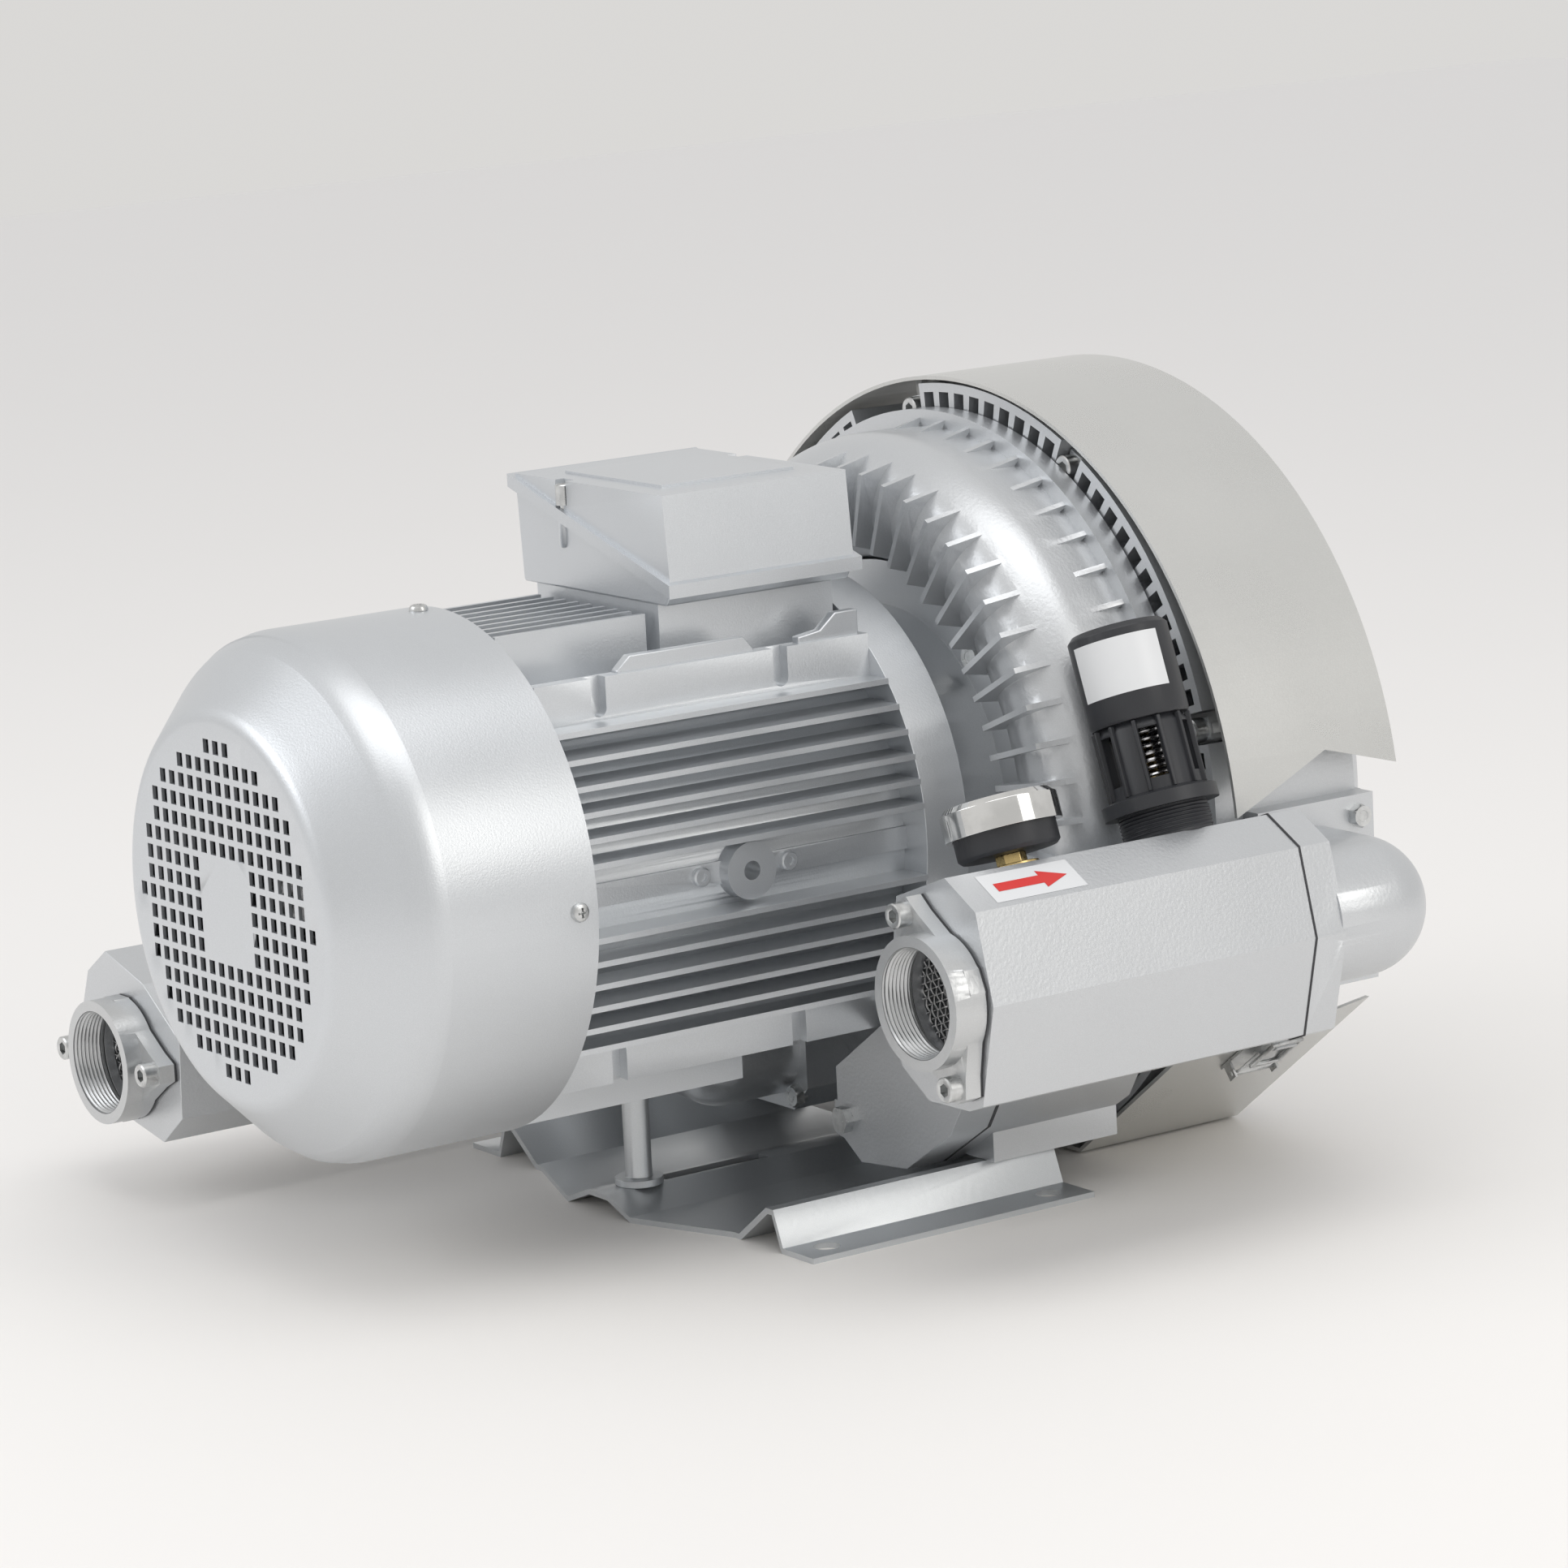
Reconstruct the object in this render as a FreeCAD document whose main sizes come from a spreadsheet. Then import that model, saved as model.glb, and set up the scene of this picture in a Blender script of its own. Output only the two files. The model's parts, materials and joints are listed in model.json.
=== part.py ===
import FreeCAD, Part

import math
import operator
import os
import types

import Sketcher
from FreeCAD import Placement, Rotation, Vector

# Two-stage side channel blower with a fan-cooled motor, two silencers, a gauge and a relief valve.
# Millimetres. Z is up, Y runs along the shaft from the fan cover to the blower, and X is to the right.
# The origin is on the ground, in the middle of the four foot holes.

SIZES = [
    ("shaft_height", 198, "shaft above the ground"),
    ("air_gap", 0.3, "space left between a piece and its seat"),
    ("bearing_gap", 0.05, "space between the shaft and what turns with it or round it"),
    # Base plate and post
    ("foot_spacing_x", 300, "foot holes, across"),
    ("foot_spacing_y", 143, "foot holes, along the shaft"),
    ("foot_hole", 7, "radius of a foot hole"),
    ("base_half", 165, "half of the plate's width"),
    ("base_front", 90.6, "front and back edge of the plate from the middle"),
    ("base_tongue", 114, "front edge of the tongue from the middle"),
    ("tongue_wide", 94, "half of the tongue's width where it starts"),
    ("tongue_narrow", 31, "half of the tongue's width at its end"),
    ("base_sheet", 3, "sheet of the base plate"),
    ("flange_inner", 138, "where the foot flange meets the ridge"),
    ("ridge_outer", 130.5, "outer edge of the ridge's top"),
    ("ridge_inner", 124, "inner edge of the ridge's top"),
    ("ridge_foot", 98, "where the ridge meets the floor"),
    ("ridge_top", 22, "top of the ridge"),
    ("rib_foot", 30, "half of the centre rib's width on the floor"),
    ("rib_half", 9, "half of the centre rib's flat top"),
    ("rib_top", 11, "top of the centre rib"),
    ("rib_back", 74, "back end of the centre rib, where the casing comes down"),
    ("rib_slot_half", 5, "half of the slot's width in the rib"),
    ("rib_slot_front", 74, "front end of the slot before the middle"),
    ("rib_slot_back", 7, "back end of the slot before the middle"),
    ("post_y", 87.5, "post before the middle"),
    ("post_radius", 7.2, "post"),
    ("post_disc", 13, "disc at the post's foot"),
    ("post_disc_thick", 4, "thickness of the disc"),
    # Motor
    ("frame_front", -188, "front end of the motor frame"),
    ("frame_back", 18, "back end of the motor frame"),
    ("barrel_outer", 110, "outside of the motor barrel"),
    ("barrel_inner", 98, "bore of the motor barrel"),
    ("fin_tip", 131, "tips of the motor's fins"),
    ("fin_thick", 3, "thickness of a motor fin"),
    ("fin_first", 19, "first side fin from the shaft's height"),
    ("fin_pitch", 12.5, "spacing of the fins"),
    ("top_fin_tip", 127, "tips of the fins on top and below"),
    ("top_fin_back", -97, "back end of the top fins"),
    ("low_fin_back", -52, "back end of the lower fins"),
    ("pad_face", 86, "side face of a corner pad"),
    ("pad_inner", 64, "inner side of a corner pad"),
    ("pad_low", 80, "lower edge of a corner pad's face"),
    ("pad_high", 105, "upper edge of a corner pad's face"),
    ("notch_front", -150, "front notch in the pads"),
    ("notch_back", -38, "back notch in the pads"),
    ("notch_half", 4.5, "half of a notch's width"),
    ("notch_depth", 16, "depth of a notch from the pad's edge"),
    ("rib_mid_out", 112, "side of the middle rib"),
    ("boss_face", 120, "face of the side boss"),
    ("boss_y", -85, "side boss"),
    ("boss_radius", 15, "side boss"),
    ("boss_hole", 5, "threaded hole in the side boss"),
    ("boss_hole_depth", 14, "depth of that hole"),
    ("neck_half", 58, "half of the neck's width"),
    ("neck_front", -93, "front of the neck under the terminal box"),
    ("neck_back", 16, "back of the neck"),
    ("box_floor", 330, "underside of the terminal box"),
    ("core_outer", 97.7, "outside of the stator core"),
    ("core_inner", 62, "bore of the stator core"),
    ("core_front", -150, "front end of the core"),
    ("core_back", -20, "back end of the core"),
    ("winding_outer", 92, "outside of the winding heads"),
    ("winding_inner", 66, "inside of the winding heads"),
    ("winding_length", 22, "length of a winding head"),
    ("rotor_outer", 61.5, "outside of the rotor core"),
    # Fan end
    ("shield_disc_front", -196, "front of the end shield's disc"),
    ("shield_rim_front", -208, "front of the end shield's rim"),
    ("shield_rim_inner", 125, "inside of the end shield's rim"),
    ("shield_hub", 50, "outside of the end shield's hub"),
    ("shield_lip", 22, "bore of the end shield's lip"),
    ("spigot_length", 6, "length of a locating edge"),
    ("spigot_inner", 90, "inside of a locating edge"),
    ("cover_outer", 137.5, "outside of the fan cover"),
    ("cover_sheet", 2, "sheet of the fan cover"),
    ("cover_front", -324, "front of the fan cover"),
    ("cover_back", -190, "rear rim of the fan cover"),
    ("cover_flat", 101, "radius of the flat front"),
    ("cover_slope_end", -287, "where the front slope meets the side"),
    ("grille_radius", 90, "radius that holds the slots"),
    ("grille_edge", 94, "radius where the grille's disc meets the cover's slope"),
    ("slot_wide", 5.7, "width of a slot in the grille"),
    ("slot_high", 7.2, "height of a slot in the grille"),
    ("slot_pitch_x", 9.6, "spacing of the slots, across"),
    ("slot_pitch_z", 10.5, "spacing of the slots, upwards"),
    ("grille_centre", 26, "half of the bare middle of the grille"),
    ("cover_screw_y", -201, "screws of the fan cover"),
    ("cover_screw_head", 5, "radius of such a screw's head"),
    ("cover_screw_height", 3, "height of such a screw's head"),
    ("cover_screw_shank", 2.5, "radius of such a screw"),
    ("fan_front", -290, "front of the motor fan"),
    ("fan_back", -229, "back of the motor fan's disc"),
    ("fan_disc", 3, "thickness of the motor fan's disc"),
    ("fan_radius", 118, "tips of the motor fan"),
    ("fan_hub", 24, "hub of the motor fan"),
    ("fan_blade_thick", 3, "thickness of a blade of the motor fan"),
    ("fan_blade_top", 75, "radius where a blade's front edge starts to slope"),
    ("fan_blade_side", -258, "where that slope ends"),
    # Shaft and bearings
    ("shaft_front", -292, "front end of the shaft"),
    ("shaft_fan", 14, "shaft in the motor fan"),
    ("shaft_rear_seat", 20, "shaft in the fan end bearing"),
    ("shaft_rotor", 24, "shaft in the rotor core"),
    ("shaft_drive_seat", 22.5, "shaft in the blower end bearing"),
    ("shaft_impeller", 19, "shaft in the impellers"),
    ("shaft_far_seat", 15, "shaft in the far bearing"),
    ("shaft_back", 268, "back end of the shaft"),
    ("rear_bearing_outer", 40, "outside of the fan end bearing"),
    ("rear_bearing_front", -198, "front of the fan end bearing"),
    ("rear_bearing_wide", 18, "width of the fan end bearing"),
    ("drive_bearing_outer", 42.5, "outside of the blower end bearing"),
    ("drive_bearing_front", 62, "front of the blower end bearing"),
    ("drive_bearing_wide", 19, "width of the blower end bearing"),
    ("far_bearing_outer", 31, "outside of the far bearing"),
    ("far_bearing_front", 250, "front of the far bearing"),
    ("far_bearing_wide", 16, "width of the far bearing"),
    # Motor flange
    ("drum_flange", 130, "flange on the motor frame"),
    ("drum_flange_back", 45, "back of that flange"),
    ("drum_waist", 106, "waist of the drum, front"),
    ("drum_waist_y", 52, "where the waist starts"),
    ("drum_tail", 102, "waist of the drum, back"),
    ("drum_inner", 94, "inside of the drum"),
    ("drum_foot", 126, "flange on the blower"),
    ("drum_foot_y", 90, "front of that flange"),
    ("drum_flat", 103, "flat underside of the drum below the shaft"),
    ("drum_floor_y", 88, "front of the drum's end wall"),
    ("hub_outer", 52, "hub round the blower end bearing"),
    ("hub_front", 60, "front of that hub"),
    ("hub_bore", 27, "bore for the shaft in the casings"),
    # Casings
    ("casing_front", 98, "front of the hub plate"),
    ("hub_plate", 8, "thickness of the hub plate"),
    ("channel_radius", 160, "middle of the ring channel from the shaft"),
    ("channel_bend", 28, "radius of the channel's round bottom"),
    ("casing_wall", 6, "wall round the channel"),
    ("front_channel_y", 100, "centre of the first channel's front bend"),
    ("middle_front", 134, "joint of the front and the middle casing"),
    ("middle_back", 238, "joint of the middle and the rear casing"),
    ("flange_outer", 203, "flanges of the casings"),
    ("flange_thick", 6, "thickness of the flanges"),
    ("land_inner", 115, "inside of the sealing lands"),
    ("web_front", 165, "front of the wall between the stages"),
    ("web_back", 181, "back of the wall between the stages"),
    ("second_channel_y", 212, "centre of the second channel's front bend"),
    ("casing_flat", 194, "flat underside of the casings below the shaft"),
    ("fin_angle", 6.48, "spacing of the casing's fins"),
    ("fin_start", 61.3, "a fin's angle, from the right upwards"),
    ("casing_fin_thick", 3, "thickness of a casing fin"),
    ("fin_root", 128, "inner end of a casing fin"),
    ("fin_root_y", 103, "height of that end"),
    ("fin_shoulder", 142, "inner corner of a casing fin"),
    ("fin_shoulder_y", 56, "front of a casing fin, inner"),
    ("fin_brow", 181, "outer corner of a casing fin"),
    ("fin_brow_y", 58, "front of a casing fin, outer"),
    ("fin_end", 199, "outer end of a casing fin"),
    ("fin_end_y", 130, "height of that end"),
    ("rear_fin_front", 245, "flange end of a rear fin"),
    ("rear_fin_shoulder_y", 280, "back of a rear fin, inner"),
    ("rear_fin_brow_y", 272, "back of a rear fin, outer"),
    ("rear_fin_brow", 172, "outer corner of a rear fin"),
    ("rear_channel_y", 240, "centre of the second channel's rear bend"),
    ("rear_plate_front", 250, "front of the rear hub plate"),
    ("rear_plate_back", 258, "back of the rear hub plate"),
    ("far_hub", 42, "hub round the far bearing"),
    ("far_bore", 21, "bore for the shaft in the rear casing"),
    ("far_bearing_lip", 6, "wall in front of the far bearing"),
    ("far_hub_back", 272, "back of that hub"),
    ("cap_thick", 5, "thickness of the bearing cover"),
    ("cell_front", 141, "front of the cooling cells"),
    ("cell_back", 235, "back of the cooling cells"),
    ("cell_inner", 190.5, "inside of the cooling cells"),
    ("cell_outer", 216, "outside of the cooling cells"),
    ("cell_outer_low", 208, "outside of the lower cooling cells"),
    ("cell_slot_low", 195.5, "inside of a cell"),
    ("cell_wall", 5, "outer wall of the cells"),
    ("cell_pitch", 3.75, "spacing of the cells, an angle"),
    ("cell_width", 8.6, "width of a cell"),
    ("cell_margin", 0.4, "angle beside the last cell of a row"),
    ("lug_half", 6, "half of the width of a screw lug"),
    ("lug_outer", 210, "outside of a screw lug"),
    ("lug_front", 148.5, "front of a screw lug"),
    ("lug_screw", 203, "casing screws from the shaft"),
    ("casing_screw_head", 6.5, "radius of a casing screw's head"),
    ("casing_screw_height", 8, "height of a casing screw's head"),
    ("casing_screw_shank", 4, "radius of a casing screw"),
    ("casing_screw_length", 20, "length of a casing screw below its head"),
    ("screw_gap", 0.3, "space round a screw in its hole"),
    # Chambers under the casing
    ("chamber_front", 36, "front of the right chamber"),
    ("chamber_back", 128, "back of the chambers"),
    ("chamber_round", 141, "top of the right chamber from the shaft"),
    ("chamber_inner_angle", 70.2, "inner end of that top, below the right"),
    ("chamber_outer_angle", 41.3, "outer end of that top, below the right"),
    ("chamber_side_low", 168, "inner side's lower end below the shaft"),
    ("chamber_foot_inner", 68, "inner end of the chamber's bottom"),
    ("chamber_foot_low", 182, "bottom of the chamber below the shaft"),
    ("chamber_foot_outer", 109, "outer end of the chamber's bottom"),
    ("chamber_foot_rise", 178, "outer end's place below the shaft"),
    ("chamber_knee", 150, "knee of the chamber"),
    ("chamber_knee_low", 152, "knee's place below the shaft"),
    ("chamber_side", 172, "outer side of the chamber"),
    ("chamber_side_mid", 118, "outer side's lower end below the shaft"),
    ("chamber_side_top", 96, "outer side's upper end below the shaft"),
    ("chamber_wall", 6, "wall of the chamber"),
    ("chamber_depth", 42, "depth of the chamber's inside"),
    ("cover_gasket", 2, "gasket under the duct cover"),
    ("duct_cover_thick", 24, "duct cover"),
    ("duct_cover_wall", 5, "wall of the duct cover"),
    ("duct_bolt_x", 56, "bolt of the duct cover, across"),
    ("duct_bolt_low", 160, "bolt of the duct cover, below the shaft"),
    ("hex_head", 7.5, "radius over the corners of a hexagon head"),
    ("hex_height", 5.3, "height of a hexagon head"),
    ("hex_shank", 4, "radius of a hexagon bolt"),
    ("hex_length", 14, "length of a bolt in the casing"),
    ("foot_lug_inner", 112, "inner side of a foot lug"),
    ("foot_lug_outer", 138, "outer side of a foot lug"),
    ("foot_lug_front", 46, "front of a foot lug"),
    ("foot_lug_back", 70, "back of a foot lug"),
    ("foot_lug_top", 47, "top of a foot lug"),
    ("foot_stud_x", 127, "foot studs, across"),
    ("foot_stud_length", 20, "length of a foot stud"),
    ("way_inner", 64, "inner side of the way in the right chamber"),
    ("way_outer", 104, "outer side of that way"),
    ("way_low", 172, "bottom of that way below the shaft"),
    ("way_high", 131, "top of that way below the shaft"),
    # Silencers
    ("right_port_x", 260, "right port, across"),
    ("right_port_y", -87, "face of the right port"),
    ("right_port_z", 151.3, "right port above the ground"),
    ("right_lean", 20, "lean of the right silencer to the left"),
    ("left_port_x", -219.4, "left port, across"),
    ("left_port_y", -291, "face of the left port"),
    ("left_port_z", 76, "left port above the ground"),
    ("left_turn", 94, "turn of the left silencer to the right"),
    ("silencer_front", 20, "front of a silencer behind its port's face"),
    ("silencer_length", 205, "length of a silencer"),
    ("silencer_top", 56, "top facet from the port's axis"),
    ("silencer_top_half", 22, "half of the top facet"),
    ("silencer_shoulder", 40.3, "right shoulder, across"),
    ("silencer_shoulder_high", 34.8, "right shoulder, upwards"),
    ("silencer_side", 35.5, "right side, across"),
    ("silencer_side_low", 12, "right side, downwards"),
    ("silencer_base_right", 6, "right end of the bottom"),
    ("silencer_base", 57, "bottom from the port's axis"),
    ("silencer_base_left", 37.9, "left end of the bottom"),
    ("silencer_heel", 46, "left end's place below the axis"),
    ("silencer_back", 53.8, "left side, across"),
    ("silencer_back_low", 25, "left side, downwards"),
    ("silencer_cheek", 44.8, "left shoulder, across"),
    ("silencer_cheek_high", 17.4, "left shoulder, upwards"),
    ("silencer_bore", 31, "bore of a silencer"),
    ("silencer_wall", 6, "front wall of a silencer"),
    ("port_minor", 28.3, "thread of a port, inner radius"),
    ("port_clear", 30, "way behind a port's thread, radius"),
    ("port_ring", 34, "outside of a port's ring"),
    ("port_gasket", 1.5, "gasket behind a port's flange"),
    ("port_plate", 9, "thickness of a port's flange"),
    ("port_screw_reach", 44.8, "port screws from the port's axis"),
    ("port_screw_angle", 94, "angle of the port screws in the silencer"),
    ("port_ear", 9.5, "ends of a port's flange"),
    ("port_screw_head", 6.5, "radius of a port screw's head"),
    ("port_screw_height", 8, "height of a port screw's head"),
    ("port_screw_shank", 4, "radius of a port screw"),
    ("port_screw_length", 18, "length of a port screw below its head"),
    ("mesh_thick", 1.2, "thickness of the wire mesh"),
    ("elbow_plate", 20, "plate of the elbow on the silencer"),
    ("elbow_outer", 37, "outside of the elbow"),
    ("elbow_inner", 29, "bore of the elbow"),
    ("elbow_y", 195, "elbow's middle"),
    ("elbow_z", 154.3, "elbow above the ground"),
    ("elbow_face", 217, "face of the casing's port pad"),
    ("elbow_flange", 11, "thickness of the elbow's flange"),
    ("elbow_flange_front", 159, "front of the elbow's flange"),
    ("elbow_flange_back", 237, "back of the elbow's flange"),
    ("elbow_flange_low", 104, "bottom of the elbow's flange"),
    ("elbow_flange_high", 204, "top of the elbow's flange"),
    ("pad_depth", 52, "depth of the casing's port pad"),
    ("duct_plate", 16, "plate of the left duct on the silencer"),
    ("duct_y", -8, "left duct's run across"),
    ("duct_outer_far", 33, "left duct at the silencer"),
    ("duct_outer", 28, "left duct under the motor"),
    ("duct_wall", 4, "wall of the left duct"),
    ("duct_x", -40, "left duct's corner under the motor"),
    ("duct_z", 60, "left duct's corner above the ground"),
    ("duct_flange_y", 28, "front of the left duct's flange"),
    ("duct_flange_thick", 12, "thickness of the left duct's flange"),
    ("duct_flange_half", 34, "half of the left duct's flange"),
    ("duct_flange_chamfer", 14, "corners of the left duct's flange"),
    # Shrouds
    ("shroud_front", 138.5, "front edge of the shrouds"),
    ("shroud_back", 248, "back edge of the shrouds"),
    ("shroud_sheet", 2, "sheet of the shrouds"),
    ("shroud_radius", 238, "upper shroud"),
    ("shroud_drop", 18, "centre of the upper shroud below the shaft"),
    ("bracket_half", 3, "half of the width of a shroud bracket"),
    ("bracket_front", 150, "front of a shroud bracket"),
    ("bracket_length", 20, "length of a shroud bracket"),
    ("shroud_corner", 25.8, "front corner of the upper shroud's end above its centre"),
    ("shroud_notch", 52, "notch of the upper shroud's end above its centre"),
    ("shroud_notch_y", 201.8, "that notch along the shaft"),
    ("shroud_tip", 39, "back corner of the upper shroud's end above its centre"),
    ("trough_half", 91, "half of the lower shroud's flat"),
    ("trough_low", 1.5, "lower shroud's flat above the ground"),
    ("trough_out", 207, "lower shroud's back corner, across"),
    ("trough_slope", 36.7, "slope of the lower shroud's sides, an angle"),
    ("trough_front_high", 75, "lower shroud's front corner above the ground"),
    ("trough_step_y", 206, "where the lower shroud's end edge turns"),
    # Latches
    ("latch_y", 197, "latch along the shaft"),
    ("latch_half", 15, "half of the latch's width"),
    ("latch_low", 86, "lower end of the latch plate along the slope"),
    ("latch_high", 118, "upper end of the latch plate along the slope"),
    ("latch_sheet", 1.5, "sheet of the latch"),
    ("latch_lift", 7, "lever's pivot over the shroud"),
    ("latch_ear", 6, "width of the latch's ears"),
    ("latch_pin", 1.5, "pin of the lever"),
    ("lever_length", 24, "length of the lever"),
    ("bail_pivot", 12, "bail's pivot from the lever's pin"),
    ("lever_half", 11, "half of the lever's width"),
    ("bail_wire", 1.25, "wire of the bail"),
    ("bail_half", 9, "half of the bail's width"),
    ("bail_length", 24, "length of the bail"),
    ("keeper_half", 7, "half of the keeper's width"),
    ("keeper_near", 123.8, "near side of the keeper up the slope"),
    ("keeper_far", 126.2, "far side of the keeper up the slope"),
    ("keeper_out", 11, "end of the keeper outside the slope"),
    ("keeper_in", 24, "root of the keeper inside the slope"),
    # Terminal box
    ("lid_top", 387.5, "top of the terminal box"),
    ("lid_half", 70, "half of the lid's top"),
    ("lid_front", -95, "front of the terminal box"),
    ("lid_back", 20, "back of the terminal box"),
    ("lid_low", 336, "low end of the slanted joint"),
    ("lid_high", 379.5, "high end of the slanted joint"),
    ("lid_foot", 74, "right side of the lid at its foot"),
    ("lid_wall", 3, "wall of the terminal box"),
    ("lip_out", 3, "lip of the terminal box"),
    ("lip_high", 7, "height of the lip"),
    ("box_half", 68, "half of the terminal box's underside"),
    ("panel_half_x", 46, "half of the raised panel, across"),
    ("panel_margin", 16, "panel from the lid's front and back"),
    ("panel_rise", 1.5, "height of the raised panel"),
    ("lid_screw_x", -26, "lid screws, across"),
    ("lid_screw_groove", 5, "half of the groove for a lid screw"),
    ("lid_screw_depth", 5.5, "depth of that groove"),
    ("lid_screw_inset", 1.2, "lid screws from the face of the lid"),
    ("lid_screw_shank", 2, "radius of a lid screw"),
    ("lid_screw_high", 11, "height of a lid screw's head"),
    ("lid_boss_half", 9, "half of the boss behind a groove"),
    ("lid_boss_depth", 10, "depth of that boss"),
    ("lid_screw_head", 4, "radius of a lid screw's head"),
    ("block_half_x", 34, "half of the terminal block"),
    ("block_half_y", 24, "half of the terminal block along the shaft"),
    ("block_high", 22, "height of the terminal block"),
    # Gauge and relief valve
    ("gauge_y", -9, "gauge along the shaft"),
    ("gauge_washer", 13.5, "washer under the gauge"),
    ("gauge_washer_thick", 2, "thickness of that washer"),
    ("gauge_hex", 8, "radius over the corners of the gauge's stem"),
    ("gauge_low", 63.4, "underside of the gauge's case from the port's axis"),
    ("gauge_rim", 75.4, "underside of the gauge's bezel"),
    ("gauge_top", 92, "front of the gauge"),
    ("gauge_case", 26.5, "case of the gauge"),
    ("gauge_radius", 30.3, "bezel of the gauge"),
    ("gauge_bezel_wall", 2.2, "wall of the bezel"),
    ("gauge_dial_drop", 6, "dial below the front"),
    ("gauge_glass_thick", 2, "glass of the gauge"),
    ("needle_long", 20, "needle beyond its pivot"),
    ("needle_short", 7, "needle behind its pivot"),
    ("needle_half", 1, "half of the needle's width"),
    ("needle_thick", 0.8, "thickness of the needle"),
    ("needle_hub", 3, "hub of the needle"),
    ("gauge_pin", 1, "pin that the needle turns on"),
    ("valve_y", 90.5, "relief valve along the shaft"),
    ("valve_thread", 23, "foot of the relief valve"),
    ("valve_collar_low", 71, "collar of the relief valve from the port's axis"),
    ("valve_collar_high", 78, "top of that collar"),
    ("valve_collar", 30, "collar of the relief valve"),
    ("valve_body", 24, "cage of the relief valve"),
    ("valve_body_high", 117, "top of the cage"),
    ("valve_bore", 19, "inside of the relief valve"),
    ("valve_window_half", 5, "half of a window in the cage"),
    ("valve_window_low", 86, "lower end of the windows"),
    ("valve_window_high", 112, "upper end of the windows"),
    ("valve_cap_outer", 26.2, "cap of the relief valve"),
    ("valve_cap_top", 167, "top of the cap"),
    ("valve_cap_wall", 4, "wall of the cap"),
    ("valve_seat_high", 80, "seat of the valve plate"),
    ("valve_seat", 14, "bore of the seat"),
    ("valve_plate_radius", 17.5, "valve plate"),
    ("valve_plate_thick", 3, "thickness of the valve plate"),
    ("valve_stem", 3, "stem of the valve plate"),
    ("valve_stem_top", 140, "top of that stem"),
    ("valve_spring_radius", 11, "spring of the relief valve"),
    ("valve_spring_wire", 1.25, "wire of that spring"),
    ("valve_spring_turns", 8, "turns of that spring"),
    ("valve_lift", 5, "travel of the valve plate"),
    # Impellers
    ("impeller_front", 102, "front of the first impeller"),
    ("impeller_wide", 30, "width of an impeller"),
    ("impeller_step", 111, "second impeller behind the first"),
    ("impeller_inner", 134, "inner end of the vanes"),
    ("impeller_outer", 186.5, "outer end of the vanes"),
    ("impeller_disc", 4, "thickness of an impeller's disc"),
    ("impeller_hub", 32, "hub of an impeller"),
    ("impeller_hub_wide", 24, "length of an impeller's hub from the middle of its disc"),
    ("land_gap", 0.5, "space between a land and the disc"),
    ("vane_thick", 2.5, "thickness of a vane"),
    # Bolts of the motor flange
    ("flange_bolt_reach", 116, "bolts of the drum from the shaft"),
]

FAN_BLADES = 6
VANES = 36
CELL_RINGS = [(18.5, 11, False), (65.5, 9, False), (118, 10, False), (164.5, 11, False),
              (-32, 12, False), (-67, 8, True), (211.3, 10, True)]
LUG_ANGLES = [13.7, 61.3, 101, 160, 206.7, -36.4]
CASING_FINS = [(-17, 23), (12, 16)]
REAR_FINS = [(-17, 23), (8, 23)]
FLANGE_BOLTS = [45, 135, 180, 0, -30, 210]


class Size:
    """A length or an angle: its number and the formula that the document keeps for it."""

    def __init__(self, number, formula):
        self.number = float(number)
        self.formula = formula

    def __float__(self):
        return self.number

    def __add__(self, other):
        return joined(self, operator.add, "+", other)

    def __radd__(self, other):
        return joined(other, operator.add, "+", self)

    def __sub__(self, other):
        return joined(self, operator.sub, "-", other)

    def __rsub__(self, other):
        return joined(other, operator.sub, "-", self)

    def __mul__(self, other):
        return joined(self, operator.mul, "*", other)

    def __rmul__(self, other):
        return joined(other, operator.mul, "*", self)

    def __truediv__(self, other):
        return joined(self, operator.truediv, "/", other)

    def __neg__(self):
        return joined(0, operator.sub, "-", self)


def sized(value):
    """Gives a plain number the form of a size."""
    return value if isinstance(value, Size) else Size(value, f"({float(value)})")


def joined(left, action, sign, right):
    """Combines two sizes into one with its own formula."""
    left, right = sized(left), sized(right)
    return Size(action(left.number, right.number), f"({left.formula} {sign} {right.formula})")


def cosine(angle):
    """Cosine of an angle in degrees."""
    angle = sized(angle)
    return Size(math.cos(math.radians(angle.number)), f"cos({angle.formula})")


def sine(angle):
    """Sine of an angle in degrees."""
    angle = sized(angle)
    return Size(math.sin(math.radians(angle.number)), f"sin({angle.formula})")


def root(value):
    """Square root of a size."""
    return Size(math.sqrt(value.number), f"sqrt({value.formula})")


def bind(thing, name, value):
    """Ties a property of an object to a size."""
    thing.setExpression(name, sized(value).formula)


doc = FreeCAD.newDocument("side_channel_blower")
sheet = doc.addObject("Spreadsheet::Sheet", "sizes")
for row, (alias, number, note) in enumerate(SIZES, start=1):
    sheet.set(f"A{row}", alias)
    sheet.set(f"B{row}", str(number))
    sheet.set(f"C{row}", note)
    sheet.setAlias(f"B{row}", alias)
doc.recompute()
s = types.SimpleNamespace(**{alias: Size(number, f"sizes.{alias}") for alias, number, note in SIZES})

# Directions for pieces made along Z: turned so that they run along another axis.
ALONG = {"Z": (Vector(0, 0, 1), 0), "Y": (Vector(1, 0, 0), -90), "X": (Vector(0, 1, 0), 90),
         "back": (Vector(1, 0, 0), 90)}


# Helpers for bodies and their sketches

def new_body(name):
    """An empty body whose label is the piece's name."""
    return doc.addObject("PartDesign::Body", name)


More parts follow.
